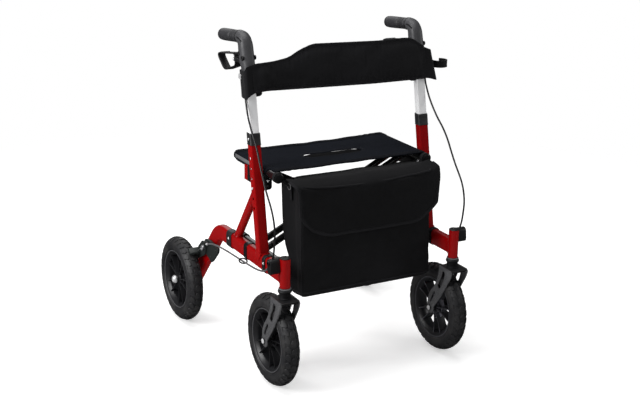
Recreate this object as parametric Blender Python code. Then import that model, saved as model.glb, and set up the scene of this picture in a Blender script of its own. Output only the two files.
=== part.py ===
"""A folding four-wheeled walker with a seat, a back band, loop brakes and a bag.

Metres, +Z up. The walker faces -Y, its grips point to +Y, and the floor is z = 0 under its middle.
Left and right are as seen from in front. Both side frames lean on one X-shaped cross frame, which folds.
"""

import math

import bmesh
import bpy
from mathutils import Matrix, Vector

SIDES = {"left": -1, "right": 1}
GAP = 0.0003  # between pieces that touch on the real object

# Wheels
WHEEL_RADIUS = 0.127
TYRE_SECTION_RADIUS = 0.0238
TYRE_STEPS = 32
RIM_EDGE_RADIUS = 0.0877
RIM_HALF_WIDTH = 0.019
SPOKES = 10
FRONT_AXLE_Y = -0.26
REAR_AXLE_Y = 0.26
FRONT_WHEEL_X = 0.2632
REAR_WHEEL_X = 0.3117
FRONT_HUB_HALF_LENGTH = 0.0215
REAR_HUB_HALF_LENGTH = 0.0187
FRONT_BOLT_RADIUS = 0.004
REAR_BOLT_RADIUS = 0.005

# Caster forks
FRAME_X = 0.262
CASTER_Y = -0.3225
LEG_INNER = 0.0248
LEG_OUTER = 0.0285
CROWN_BOTTOM = 0.2578
CROWN_TOP = 0.268
CROWN_BACK = -0.292
CROWN_FRONT = -0.3595
HEAD_TUBE_RADIUS = 0.014
HEAD_TUBE_BOTTOM = 0.297
HEAD_TUBE_TOP = 0.377
HEAD_BORE_RADIUS = 0.0064
HEAD_BORE_TOP = 0.365

# Side frames
RAIL_WIDTH = 0.025
RAIL_HEIGHT = 0.045
RAIL_CORNER = 0.009
RAIL_Z = 0.328
BEND_RADIUS = 0.08
BEND_Y = 0.0463
DOWN_ANGLE = math.radians(48.5)
RAIL_END_PAST_AXLE = 0.017
COLUMN_Y = -0.1445  # where the leaning column's axis crosses z = COLUMN_Z
COLUMN_Z = 0.60
COLUMN_LEAN = 0.185
UPRIGHT_SIZE = (0.030, 0.025, 0.005)
UPRIGHT_BORE = (0.027, 0.022, 0.0043)
UPRIGHT_BOTTOM = 0.322
UPRIGHT_TOP = 0.6345
UPRIGHT_TONGUE = 0.332
HOLE_HEIGHTS = [0.600, 0.572, 0.546, 0.521, 0.494, 0.469]
HOLE_RADIUS = 0.004
BUTTON_HEIGHT = 0.521
BRACE_RADIUS = 0.0115
BRACE_FOOT = (-0.0405, 0.353)
BRACE_HEAD = (-0.123, 0.469)
COLLAR_SIZE = (0.0325, 0.0275, 0.006)
COLLAR_TOP = 0.666
INNER_TUBE_SIZE = (0.0264, 0.0214, 0.004)
INNER_TUBE_BOTTOM = 0.505
INNER_TUBE_TOP = 0.835
GROOVE_WIDTH = 0.009
GROOVE_DEPTH = 0.0036
GROOVE_TOP = 0.585

# Cross frame, whose pivots lie straight below the seat rails so that the rails rise along the side frames
SEAT_RAIL_X = 0.2293
SEAT_RAIL_Z = 0.559
SEAT_RAIL_RADIUS = 0.0125
SEAT_RAIL_FRONT = -0.220
SEAT_RAIL_BACK = 0.030
PIVOT_TUBE_RADIUS = 0.011
PIVOT_TUBE_FRONT = -0.2345
PIVOT_TUBE_BACK = 0.0145
FRONT_CLAMP_Y = (-0.232, -0.216)
REAR_CLAMP_Y = (-0.018, 0.012)
CLAMP_WALL = 0.0022
CROSS_BAR_RADIUS = 0.0095
CROSS_A_BARS = (-0.125, -0.080)
CROSS_B_BAR = -0.1025
BOLT_RADIUS = 0.004

# Handles
HANDLE_BOTTOM = 0.782
HANDLE_SHIFT = 0.0065  # how far the handle's top lies behind the column's axis
ELBOW_REACH = 0.028
GRIP_START = (-0.050, 0.9064)
GRIP_TILT = math.radians(-5.55)
GRIP_LENGTH = 0.112
GRIP_RADIUS = 0.0163
CORE_RADIUS = 0.009
CORE_LENGTH = 0.060
LEVER_HINGE = (-0.043, 0.846)
LEVER_WIDTH = 0.022
LEVER_THICKNESS = 0.004
LEVER_CORNERS = [(-0.043, 0.828), (-0.036, 0.860), (0.077, 0.842), (0.028, 0.804)]
LEVER_RADII = [0.012, 0.012, 0.010, 0.030]
KNUCKLE_RADIUS = 0.0062
CHEEK_OUTER = 0.0155
HINGE_PIN_RADIUS = 0.0025

# Rear brakes
BRAKE_PIVOT = (0.151, 0.256)
BRACKET_INNER = FRAME_X + RAIL_WIDTH / 2 + GAP
BRACKET_OUTER = 0.2815
ARM_OUTER = 0.2866
SHOE_OUTER = 0.322
SHOE_CENTRE = (0.1815, 0.2381)
CABLE_RADIUS = 0.0025
CABLE_PORT_X = 0.279
CABLE_PORT_RADIUS = 0.003
CABLE_PORT_LENGTH = 0.022
CABLE_POINTS = 46
# how much further out and forward each cable hangs in its middle, in X and Y
CABLE_BOW = {-1: (0.0, -0.008), 1: (0.008, 0.0)}

# Soft goods
FABRIC_THICKNESS = 0.002
SEAT_FRONT = -0.205
SEAT_FRONT_HOLLOW = 0.012
SEAT_BACK = 0.035
SEAT_CORNER = 0.025
SLOT_X = (-0.087, 0.092)
SLOT_Y = -0.090
SLOT_WIDTH = 0.036
STRAP_WIDTH = 0.032
STRAP_THICKNESS = 0.0015
BAND_HALF_THICKNESS = 0.00125
BAND_FRONT_PADDING = 0.0048
BAND_RIGHT_FLARE = (0.004, 0.018)  # at its top and at its bottom
BAG_LEFT = -0.192
BAG_RIGHT = 0.211
BAG_BACK_WIDER = (0.011, 0.002)  # at the left and at the right
BAG_WALL = 0.004

RED = (0.47, 0.002, 0.004)
BLACK = (0.012, 0.012, 0.013)
GREY = (0.09, 0.09, 0.095)
SILVER = (0.62, 0.63, 0.65)
NAVY = (0.028, 0.032, 0.042)


def clear_scene():
    for obj in list(bpy.data.objects):
        bpy.data.objects.remove(obj, do_unlink=True)


def make_material(name, colour, roughness, metallic):
    material = bpy.data.materials.new(name)
    material.use_nodes = True
    surface = material.node_tree.nodes["Principled BSDF"]
    surface.inputs["Base Color"].default_value = (*colour, 1)
    surface.inputs["Roughness"].default_value = roughness
    surface.inputs["Metallic"].default_value = metallic
    return material


def make_materials():
    return {
        "red_paint": make_material("red_paint", RED, 0.3, 0.2),
        "black_paint": make_material("black_paint", BLACK, 0.35, 0.2),
        "grey_metal": make_material("grey_metal", GREY, 0.4, 0.6),
        "silver": make_material("silver", SILVER, 0.25, 1.0),
        "black_plastic": make_material("black_plastic", BLACK, 0.5, 0.0),
        "grey_plastic": make_material("grey_plastic", GREY, 0.45, 0.0),
        "tyre": make_material("tyre", BLACK, 0.8, 0.0),
        "grip_rubber": make_material("grip_rubber", BLACK, 0.75, 0.0),
        "seat_cloth": make_material("seat_cloth", NAVY, 0.9, 0.0),
        "black_cloth": make_material("black_cloth", BLACK, 0.95, 0.0),
    }


# Outlines and sections


def rounded_section(width, depth, radius, steps=2):
    """A rounded rectangle about its centre, counter-clockwise."""
    points = []
    for corner in range(4):
        middle_u = (width / 2 - radius) * (1 if corner in (0, 3) else -1)
        middle_v = (depth / 2 - radius) * (1 if corner in (0, 1) else -1)
        for step in range(steps + 1):
            angle = math.pi / 2 * (corner + step / steps)
            out = (radius * math.cos(angle), radius * math.sin(angle))
            points.append((middle_u + out[0], middle_v + out[1]))
    return points


def arc(middle, radius, start, end, steps):
    """Points on an arc, with its angles in degrees."""
    angles = [math.radians(start + (end - start) * step / steps) for step in range(steps + 1)]
    return [(middle[0] + radius * math.cos(a), middle[1] + radius * math.sin(a)) for a in angles]


def strip_outline(points, width, steps=4):
    """The outline of a strip of even width along some points, with round ends."""
    points = [Vector(p) for p in points]
    left, right = [], []
    for index, point in enumerate(points):
        before = points[max(index - 1, 0)]
        after = points[min(index + 1, len(points) - 1)]
        along = (after - before).normalized()
        across = Vector((-along.y, along.x)) * width / 2
        left.append(point + across)
        right.append(point - across)
    ends = []
    for end, toward in ((points[-1], points[-2]), (points[0], points[1])):
        out = (end - toward).angle_signed(Vector((1, 0)))
        turn = math.degrees(out)
        ends.append(arc(end, width / 2, turn + 90, turn - 90, steps)[1:-1])
    return [tuple(p) for p in left] + ends[0] + [tuple(p) for p in reversed(right)] + ends[1]


def height_at(edge, x):
    """The height of an edge, given as points from left to right, at x."""
    for (x0, z0), (x1, z1) in zip(edge, edge[1:]):
        if x <= x1:
            share = min(max((x - x0) / (x1 - x0), 0), 1)
            return z0 + (z1 - z0) * share
    return edge[-1][1]


def smooth_route(points, count):
    """Evenly spaced points on a smooth curve through the route's own points."""
    points = [Vector(p) for p in points]
    padded = [points[0] * 2 - points[1], *points, points[-1] * 2 - points[-2]]
    fine = []
    for p0, p1, p2, p3 in zip(padded, padded[1:], padded[2:], padded[3:]):
        for step in range(24):
            t = step / 24
            fine.append(
                0.5
                * (
                    2 * p1
                    + (p2 - p0) * t
                    + (2 * p0 - 5 * p1 + 4 * p2 - p3) * t**2
                    + (3 * p1 - p0 - 3 * p2 + p3) * t**3
                )
            )
    fine.append(points[-1])
    travelled = [0.0]
    for a, b in zip(fine, fine[1:]):
        travelled.append(travelled[-1] + (b - a).length)
    even, index = [], 0
    for step in range(count):
        target = travelled[-1] * step / (count - 1)
        while index < len(fine) - 2 and travelled[index + 1] < target:
            index += 1
        share = (target - travelled[index]) / (travelled[index + 1] - travelled[index])
        even.append(fine[index].lerp(fine[index + 1], min(share, 1)))
    return even


# Solids, added to a bmesh in world coordinates


def loft(bm, rings, closed=False):
    """Skins rings of equally many points. An open loft gets an end cap on each end."""
    rows = [[bm.verts.new(point) for point in ring] for ring in rings]
    pairs = list(zip(rows, rows[1:]))
    if closed:
        pairs.append((rows[-1], rows[0]))
    for near, far in pairs:
        for index in range(len(near)):
            after = (index + 1) % len(near)
            bm.faces.new((near[index], near[after], far[after], far[index]))
    if not closed:
        bm.faces.new(rows[0])
        bm.faces.new(rows[-1])


def prism(bm, outline, axis, low, high):
    """Extrudes an outline along X, from (y, z) points, or along Y, from (x, z) points."""
    if axis == "X":
        rings = [[(end, a, b) for a, b in outline] for end in (low, high)]
    else:
        rings = [[(a, end, b) for a, b in outline] for end in (low, high)]
    loft(bm, rings)


def across_vectors(axis):
    axis = Vector(axis).normalized()
    start = Vector((0, 0, 1)) if abs(axis.z) < 0.9 else Vector((0, 1, 0))
    first = axis.cross(start).normalized()
    return axis, first, axis.cross(first)


def turned(bm, profile, centre, axis, steps):
    """Turns (distance along the axis, radius) points about an axis and caps both ends."""
    axis, first, second = across_vectors(axis)
    rings = []
    for distance, radius in profile:
        ring = []
        for step in range(steps):
            angle = 2 * math.pi * step / steps
            out = first * math.cos(angle) + second * math.sin(angle)
            ring.append(Vector(centre) + axis * distance + out * radius)
        rings.append(ring)
    loft(bm, rings)


def turned_ring(bm, section, centre, axis, steps):
    """Turns a closed (distance along the axis, radius) section about an axis."""
    axis, first, second = across_vectors(axis)
    rings = []
    for step in range(steps):
        angle = 2 * math.pi * step / steps
        out = first * math.cos(angle) + second * math.sin(angle)
        rings.append([Vector(centre) + axis * d + out * r for d, r in section])
    loft(bm, rings, closed=True)


def rod(bm, start, end, radius, steps=12):
    start, end = Vector(start), Vector(end)
    turned(bm, [(0, radius), ((end - start).length, radius)], start, end - start, steps)


def side_sweep(bm, x, path, sections):
    """Sweeps (across, in-plane) sections along a (y, z) path in the plane at x."""
    path = [Vector(p) for p in path]
    rings = []
    for index, point in enumerate(path):
        along = (path[min(index + 1, len(path) - 1)] - path[max(index - 1, 0)]).normalized()
        normal = Vector((-along.y, along.x))
        rings.append(
            [(x + u, point.x + normal.x * v, point.y + normal.y * v) for u, v in sections[index]]
        )
    loft(bm, rings)


def column_y(z):
    return COLUMN_Y + COLUMN_LEAN * (z - COLUMN_Z)


def column_rings(x, size, heights, steps=2):
    """Square cuts of a tube on the leaning column's axis, each centred at one of the heights."""
    along = Vector((0, COLUMN_LEAN, 1)).normalized()
    back = Vector((0, along.z, -along.y))
    section = rounded_section(*size, steps)
    rings = []
    for z in heights:
        centre = Vector((x, column_y(z), z))
        rings.append([centre + Vector((u, 0, 0)) + back * v for u, v in section])
    return rings


# Objects


def make_object(name, bm, material, origin=(0, 0, 0)):
    bmesh.ops.recalc_face_normals(bm, faces=bm.faces)
    mesh = bpy.data.meshes.new(name)
    bm.to_mesh(mesh)
    bm.free()
    mesh.transform(Matrix.Translation(-Vector(origin)))
    mesh.materials.append(material)
    mesh.shade_smooth()
    mesh.set_sharp_from_angle(angle=math.radians(35))
    obj = bpy.data.objects.new(name, mesh)
    obj.location = origin
    bpy.context.scene.collection.objects.link(obj)
    return obj


def combine(obj, operation, bm):
    """Joins or cuts the object with a hidden helper."""
    label = f"{obj.name}_{operation.lower()}_{len(obj.modifiers)}"
    helper = make_object(label, bm, obj.data.materials[0])
    helper.hide_render = True
    helper.display_type = "WIRE"
    modifier = obj.modifiers.new(operation.title(), "BOOLEAN")
    modifier.operation = operation
    modifier.solver = "EXACT"
    modifier.object = helper


# Wheels


def tyre(name, centre, materials):
    middle_radius = WHEEL_RADIUS - TYRE_SECTION_RADIUS
    section = arc((0, middle_radius), TYRE_SECTION_RADIUS, 0, 315, 7)
    bm = bmesh.new()
    turned_ring(bm, section, centre, (1, 0, 0), TYRE_STEPS)
    make_object(name, bm, materials["tyre"], centre)


def rim(name, centre, hub_half_length, bolt_radius, materials):
    seat = RIM_EDGE_RADIUS - 0.0089
    section = [
        (-RIM_HALF_WIDTH, RIM_EDGE_RADIUS),
        (-0.0095, RIM_EDGE_RADIUS - 0.0069),
        (0, seat),
        (0.0095, RIM_EDGE_RADIUS - 0.0069),
        (RIM_HALF_WIDTH, RIM_EDGE_RADIUS),
        (RIM_HALF_WIDTH, RIM_EDGE_RADIUS - 0.0042),
        (0.0100, seat - 0.0050),
        (-0.0100, seat - 0.0050),
        (-RIM_HALF_WIDTH, RIM_EDGE_RADIUS - 0.0042),
    ]
    bm = bmesh.new()
    turned_ring(bm, section, centre, (1, 0, 0), TYRE_STEPS)
    obj = make_object(name, bm, materials["black_plastic"], centre)

    hub = bmesh.new()
    bore = bolt_radius + GAP
    half = hub_half_length
    hub_section = [(-half, bore), (half, bore), (half, 0.0125), (0.012, 0.0195)]
    hub_section += [(-0.012, 0.0195), (-half, 0.0125)]
    turned_ring(hub, hub_section, centre, (1, 0, 0), 16)
    combine(obj, "UNION", hub)

    spokes = bmesh.new()
    for spoke in range(SPOKES):
        angle = 2 * math.pi * (spoke + 0.5) / SPOKES
        out = Vector((0, math.cos(angle), math.sin(angle)))
        along = Vector((0, -out.z, out.y))
        rings = []
        ends = ((0.0165, 0.0038, 0.0095), (seat - 0.003, 0.0026, 0.0075))
        for distance, half_width, half_depth in ends:
            middle = Vector(centre) + out * distance
            rings.append(
                [
                    middle + along * u * half_width + Vector((v * half_depth, 0, 0))
                    for u, v in ((1, 1), (-1, 1), (-1, -1), (1, -1))
                ]
            )
        loft(spokes, rings)
    combine(obj, "UNION", spokes)


def front_axle(name, centre, materials):
    radius = FRONT_BOLT_RADIUS
    spacer = (FRONT_HUB_HALF_LENGTH + GAP, LEG_INNER - GAP)
    half_profile = [
        (spacer[0], radius),
        (spacer[0], 0.0065),
        (spacer[1], 0.0065),
        (spacer[1], radius),
        (LEG_OUTER + GAP, radius),
        (LEG_OUTER + GAP, 0.008),
        (LEG_OUTER + 0.0025, 0.008),
        (LEG_OUTER + 0.0040, 0.006),
    ]
    profile = [(-d, r) for d, r in reversed(half_profile)] + half_profile
    bm = bmesh.new()
    turned(bm, profile, centre, (1, 0, 0), 12)
    make_object(name, bm, materials["silver"], centre)


def rear_axle(name, side, materials):
    inner = FRAME_X - RAIL_WIDTH / 2
    outer = FRAME_X + RAIL_WIDTH / 2
    hub_inner = REAR_WHEEL_X - REAR_HUB_HALF_LENGTH
    hub_outer = REAR_WHEEL_X + REAR_HUB_HALF_LENGTH
    radius = REAR_BOLT_RADIUS
    profile = [
        (inner - 0.0045, 0.009),
        (inner - GAP, 0.009),
        (inner - GAP, radius),
        (outer + GAP, radius),
        (outer + GAP, 0.008),
        (hub_inner - GAP, 0.008),
        (hub_inner - GAP, radius),
        (hub_outer + GAP, radius),
        (hub_outer + GAP, 0.0085),
        (hub_outer + 0.0070, 0.0085),
        (hub_outer + 0.0075, 0.0058),
        (0.3450, 0.0050),
    ]
    bm = bmesh.new()
    turned(bm, profile, (0, REAR_AXLE_Y, WHEEL_RADIUS), (side, 0, 0), 12)
    make_object(name, bm, materials["silver"])


# Caster forks


def fork(name, side, materials):
    """Two slotted legs under a crown. The origin is on the swivel axis."""
    wheel_x = side * FRONT_WHEEL_X
    origin = (side * FRAME_X, CASTER_Y, 0)
    back_edge = [(CROWN_BACK, CROWN_TOP), (-0.2925, 0.250), (-0.294, 0.232)]
    back_edge += [(-0.2775, 0.197), (-0.262, 0.174), (-0.2535, 0.151)]
    front_edge = [(-0.2855, 0.145), (-0.315, 0.183), (-0.341, 0.213), (-0.355, 0.243)]
    front_edge += [(-0.3585, 0.262), (-0.353, CROWN_TOP)]
    foot = arc((FRONT_AXLE_Y - 0.004, WHEEL_RADIUS), 0.0155, 15, -205, 7)
    outline = back_edge + foot + front_edge
    bm = bmesh.new()
    prism(bm, outline, "X", wheel_x + LEG_INNER, wheel_x + LEG_OUTER)
    obj = make_object(name, bm, materials["grey_metal"], origin)

    crown = bmesh.new()
    half_width = LEG_OUTER - 0.0006
    corners = [(-half_width, CROWN_FRONT + 0.010), (-half_width, CROWN_BACK - 0.001)]
    corners += [(half_width, CROWN_BACK - 0.001), (half_width, CROWN_FRONT + 0.010)]
    corners += [(half_width - 0.010, CROWN_FRONT), (-half_width + 0.010, CROWN_FRONT)]
    levels = (CROWN_BOTTOM, CROWN_TOP - 0.0005)
    loft(crown, [[(wheel_x + x, y, z) for x, y in corners] for z in levels])
    combine(obj, "UNION", crown)

    other_leg = bmesh.new()
    prism(other_leg, outline, "X", wheel_x - LEG_OUTER, wheel_x - LEG_INNER)
    combine(obj, "UNION", other_leg)

    reach = LEG_OUTER + 0.01
    slots = bmesh.new()
    upper = strip_outline([(-0.3220, 0.252), (-0.3165, 0.235), (-0.3030, 0.210)], 0.012)
    lower = strip_outline([(-0.2840, 0.184), (-0.2735, 0.166), (-0.2680, 0.150)], 0.008)
    for slot in (upper, lower):
        prism(slots, slot, "X", wheel_x - reach, wheel_x + reach)
    axle_ends = [(wheel_x + along, FRONT_AXLE_Y, WHEEL_RADIUS) for along in (-reach, reach)]
    rod(slots, *axle_ends, FRONT_BOLT_RADIUS + GAP)
    combine(obj, "DIFFERENCE", slots)


def caster_stem(name, side, materials):
    """The bearing under the head tube with the stem that turns inside it."""
    origin = (side * FRAME_X, CASTER_Y, 0)
    flange = HEAD_TUBE_BOTTOM - GAP
    profile = [
        (CROWN_TOP + GAP, 0.0160),
        (flange - 0.0150, 0.0152),
        (flange - 0.0135, 0.0185),
        (flange - 0.0030, 0.0185),
        (flange, 0.0150),
        (flange, 0.0060),
        (HEAD_BORE_TOP - 0.005, 0.0060),
    ]
    bm = bmesh.new()
    turned(bm, profile, origin, (0, 0, 1), 16)
    make_object(name, bm, materials["silver"], origin)


def head_tube(name, side, materials):
    foot = (side * FRAME_X, CASTER_Y, 0)
    profile = [
        (HEAD_TUBE_BOTTOM, HEAD_TUBE_RADIUS),
        (HEAD_TUBE_TOP, HEAD_TUBE_RADIUS),
        (HEAD_TUBE_TOP + 0.0025, HEAD_TUBE_RADIUS - 0.0015),
        (HEAD_TUBE_TOP + 0.004, HEAD_TUBE_RADIUS - 0.005),
    ]
    bm = bmesh.new()
    turned(bm, profile, foot, (0, 0, 1), 16)
    obj = make_object(name, bm, materials["red_paint"])
    bore = bmesh.new()
    ends = [(foot[0], CASTER_Y, z) for z in (HEAD_TUBE_BOTTOM - 0.01, HEAD_BORE_TOP)]
    rod(bore, *ends, HEAD_BORE_RADIUS, 16)
    combine(obj, "DIFFERENCE", bore)


# Side frames


def rail_path():
    middle = (BEND_Y, RAIL_Z - BEND_RADIUS)
    bend = arc(middle, BEND_RADIUS, 90, 90 - math.degrees(DOWN_ANGLE), 6)
    down = Vector((math.cos(DOWN_ANGLE), -math.sin(DOWN_ANGLE)))
    end = Vector((REAR_AXLE_Y, WHEEL_RADIUS)) + down * RAIL_END_PAST_AXLE
    return [(CASTER_Y, RAIL_Z), *bend, tuple(end)]


def lower_rail(name, side, materials):
    path = rail_path()
    section = rounded_section(RAIL_WIDTH, RAIL_HEIGHT, RAIL_CORNER)
    bm = bmesh.new()
    side_sweep(bm, side * FRAME_X, path, [section] * len(path))
    obj = make_object(name, bm, materials["red_paint"])
    cutters = bmesh.new()
    x = side * FRAME_X
    reach = RAIL_HEIGHT
    ends = [(x, CASTER_Y, z) for z in (RAIL_Z - reach, RAIL_Z + reach)]
    rod(cutters, *ends, HEAD_TUBE_RADIUS + GAP, 16)
    axle_ends = [(x + along, REAR_AXLE_Y, WHEEL_RADIUS) for along in (-reach, reach)]
    rod(cutters, *axle_ends, REAR_BOLT_RADIUS + GAP)
    combine(obj, "DIFFERENCE", cutters)


def upright(name, side, materials):
    """A leaning tube that straddles the rail, with a row of height holes on its outer face."""
    x = side * FRAME_X
    bm = bmesh.new()
    loft(bm, column_rings(x, UPRIGHT_SIZE, (UPRIGHT_BOTTOM, UPRIGHT_TOP)))
    obj = make_object(name, bm, materials["red_paint"])
    cutters = bmesh.new()
    loft(cutters, column_rings(x, UPRIGHT_BORE, (UPRIGHT_BOTTOM - 0.03, UPRIGHT_TOP + 0.03)))
    combine(obj, "DIFFERENCE", cutters)
    saddle = bmesh.new()
    size = (RAIL_WIDTH + 2 * GAP, RAIL_HEIGHT + 2 * GAP, RAIL_CORNER)
    section = rounded_section(*size)
    side_sweep(saddle, x, [(-0.30, RAIL_Z), (0.0, RAIL_Z)], [section, section])
    combine(obj, "DIFFERENCE", saddle)
    trim = bmesh.new()
    front, back = column_y(0.35) - 0.0145, column_y(0.35) + 0.0145
    middle = (front + back) / 2
    shoulder = RAIL_Z + RAIL_HEIGHT / 2
    outline = [
        (front - 0.02, 0.29),
        (front - 0.02, shoulder),
        (front, shoulder),
        (middle - 0.003, UPRIGHT_TONGUE),
        (middle + 0.003, UPRIGHT_TONGUE),
        (back, shoulder),
        (back + 0.02, shoulder),
        (back + 0.02, 0.29),
    ]
    prism(trim, outline, "X", x - 0.03, x + 0.03)
    combine(obj, "DIFFERENCE", trim)
    holes = bmesh.new()
    for z in HOLE_HEIGHTS:
        y = column_y(z)
        rod(holes, (x + side * 0.0065, y, z), (x + side * 0.03, y, z), HOLE_RADIUS, 10)
    combine(obj, "DIFFERENCE", holes)


def rear_brace(name, side, materials):
    """A round strut, cut flat on the rail's top and on the upright's rear face."""
    x = side * FRAME_X
    foot, head = Vector((x, *BRACE_FOOT)), Vector((x, *BRACE_HEAD))
    along = (head - foot).normalized()
    up = Vector((0, COLUMN_LEAN, 1)).normalized()
    column_back = Vector((0, up.z, -up.y))
    rail_top = Vector((0, 0, RAIL_Z + RAIL_HEIGHT / 2 + GAP))
    column_face = Vector((0, COLUMN_Y, COLUMN_Z)) + column_back * (UPRIGHT_SIZE[1] / 2 + GAP)
    rings = []
    sideways = Vector((1, 0, 0))
    for plane_point, normal in ((rail_top, Vector((0, 0, 1))), (column_face, column_back)):
        ring = []
        for step in range(14):
            angle = 2 * math.pi * step / 14
            across = sideways * math.cos(angle) + along.cross(sideways) * math.sin(angle)
            point = foot + across * BRACE_RADIUS
            ring.append(point + along * ((plane_point - point).dot(normal) / along.dot(normal)))
        rings.append(ring)
    bm = bmesh.new()
    loft(bm, rings)
    make_object(name, bm, materials["red_paint"])


def seat_saddle(name, side, materials):
    """The shelf on the upright's inner side that the seat rail rests in."""
    outer = FRAME_X - UPRIGHT_SIZE[0] / 2 - GAP
    cradle = SEAT_RAIL_RADIUS + GAP
    inner = SEAT_RAIL_X - 0.0058
    curve = arc((SEAT_RAIL_X, SEAT_RAIL_Z), cradle, 0, -90, 4)
    end = math.degrees(math.acos((inner - SEAT_RAIL_X) / cradle))
    curve += arc((SEAT_RAIL_X, SEAT_RAIL_Z), cradle, -90, -end, 1)[1:]
    shelf = SEAT_RAIL_Z - 0.003
    curve[0] = (SEAT_RAIL_X + cradle, shelf)
    outline = [(outer, shelf), *curve, (inner, 0.524), (inner + 0.008, 0.514), (outer, 0.514)]
    bm = bmesh.new()
    prism(bm, [(side * a, b) for a, b in outline], "Y", -0.167, -0.046)
    make_object(name, bm, materials["red_paint"])


def collar(name, side, materials):
    x = side * FRAME_X
    bm = bmesh.new()
    loft(bm, column_rings(x, COLLAR_SIZE, (UPRIGHT_TOP + GAP, COLLAR_TOP)))
    obj = make_object(name, bm, materials["grey_plastic"])
    bore = bmesh.new()
    loft(bore, column_rings(x, UPRIGHT_BORE, (UPRIGHT_TOP - 0.03, COLLAR_TOP + 0.03)))
    combine(obj, "DIFFERENCE", bore)


def inner_tube(name, side, materials):
    """The tube that carries the handle, with a groove where the height button reaches in."""
    x = side * FRAME_X
    bm = bmesh.new()
    loft(bm, column_rings(x, INNER_TUBE_SIZE, (INNER_TUBE_BOTTOM, INNER_TUBE_TOP)))
    obj = make_object(name, bm, materials["silver"])
    groove = bmesh.new()
    depth = 2 * GROOVE_DEPTH
    middle = x + side * INNER_TUBE_SIZE[0] / 2
    ends = (INNER_TUBE_BOTTOM - 0.01, GROOVE_TOP)
    loft(groove, column_rings(middle, (depth, GROOVE_WIDTH, 0.001), ends, 1))
    combine(obj, "DIFFERENCE", groove)


def height_button(name, side, materials):
    y = column_y(BUTTON_HEIGHT)
    face = FRAME_X + UPRIGHT_SIZE[0] / 2
    radius = HOLE_RADIUS - 1.3 * GAP
    profile = [(face - 0.0009, radius), (face + 0.0022, radius), (face + 0.0032, radius - 0.0012)]
    bm = bmesh.new()
    turned(bm, profile, (0, y, BUTTON_HEIGHT), (side, 0, 0), 10)
    make_object(name, bm, materials["silver"], (side * face, y, BUTTON_HEIGHT))


def pivot_clamp(name, side, front, back, material):
    """A band round the rail with an eye that a pivot tube of the cross frame turns in."""
    x = side * FRAME_X
    bm = bmesh.new()
    wall = CLAMP_WALL
    outer = rounded_section(RAIL_WIDTH + 2 * wall, RAIL_HEIGHT + 2 * wall, RAIL_CORNER + wall)
    inner = rounded_section(RAIL_WIDTH + 2 * GAP, RAIL_HEIGHT + 2 * GAP, RAIL_CORNER)
    rings = []
    for section, y in ((outer, front), (outer, back), (inner, back), (inner, front)):
        rings.append([(x + u, y, RAIL_Z + v) for u, v in section])
    loft(bm, rings, closed=True)
    obj = make_object(name, bm, material)
    eye = bmesh.new()
    eye_outer = PIVOT_TUBE_RADIUS + 0.0035
    reach = FRAME_X - RAIL_WIDTH / 2 - GAP - 0.0006
    outline = arc((SEAT_RAIL_X, RAIL_Z), eye_outer, 45, 315, 12)
    outline += [(reach, RAIL_Z - 0.009), (reach, RAIL_Z + 0.009)]
    prism(eye, [(side * a, b) for a, b in outline], "Y", front + 0.001, back - 0.001)
    combine(obj, "UNION", eye)
    bore = bmesh.new()
    ends = [(side * SEAT_RAIL_X, y, RAIL_Z) for y in (front - 0.01, back + 0.01)]
    rod(bore, *ends, PIVOT_TUBE_RADIUS + GAP, 16)
    combine(obj, "DIFFERENCE", bore)


# Cross frame


def cross_frame(name, start_side, bars, material):
    """Parallel bars that rise from a pivot tube on one side frame to the other side's seat rail."""
    start = Vector((start_side * SEAT_RAIL_X, 0, RAIL_Z))
    end = Vector((-start_side * SEAT_RAIL_X, 0, SEAT_RAIL_Z))
    along = (end - start).normalized()
    top = end - along * (SEAT_RAIL_RADIUS + 2 * GAP)
    bm = bmesh.new()
    ends = [start + Vector((0, y, 0)) for y in (PIVOT_TUBE_FRONT, PIVOT_TUBE_BACK)]
    rod(bm, *ends, PIVOT_TUBE_RADIUS, 16)
    obj = make_object(name, bm, material, tuple(start))
    members = bmesh.new()
    for y in bars:
        place = Vector((0, y, 0))
        rod(members, start + place, top + place, CROSS_BAR_RADIUS, 14)
    combine(obj, "UNION", members)
    centre_z = (RAIL_Z + SEAT_RAIL_Z) / 2
    bore = bmesh.new()
    rod(bore, (0, -0.16, centre_z), (0, -0.04, centre_z), BOLT_RADIUS + GAP)
    combine(obj, "DIFFERENCE", bore)


def centre_bolt(name, materials):
    centre_z = (RAIL_Z + SEAT_RAIL_Z) / 2
    front = CROSS_A_BARS[0] - CROSS_BAR_RADIUS - GAP
    back = CROSS_A_BARS[1] + CROSS_BAR_RADIUS + GAP
    profile = [
        (front - 0.005, 0.0055),
        (front - 0.0035, 0.0078),
        (front, 0.0078),
        (front, BOLT_RADIUS),
        (back, BOLT_RADIUS),
        (back, 0.0072),
        (back + 0.0055, 0.0072),
    ]
    bm = bmesh.new()
    turned(bm, profile, (0, 0, centre_z), (0, 1, 0), 12)
    make_object(name, bm, materials["silver"], (0, 0, centre_z))


def seat_rail(name, side, materials):
    end = SEAT_RAIL_FRONT
    radius = SEAT_RAIL_RADIUS
    profile = [
        (end - 0.003, radius - 0.003),
        (end - 0.0015, radius + 0.0012),
        (end, radius + 0.0012),
        (end, radius),
        (SEAT_RAIL_BACK, radius),
    ]
    bm = bmesh.new()
    turned(bm, profile, (side * SEAT_RAIL_X, 0, SEAT_RAIL_Z), (0, 1, 0), 16)
    make_object(name, bm, materials["black_paint"])


# Handles


def grip_direction():
    return Vector((0, math.cos(GRIP_TILT), math.sin(GRIP_TILT)))


def elbow_corner():
    """Where the handle's shifted axis meets the grip's axis, as (y, z)."""
    tilt = math.tan(GRIP_TILT)
    foot = column_y(0) + HANDLE_SHIFT
    z = (GRIP_START[1] + tilt * (foot - GRIP_START[0])) / (1 - tilt * COLUMN_LEAN)
    return Vector((foot + COLUMN_LEAN * z, z))


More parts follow.
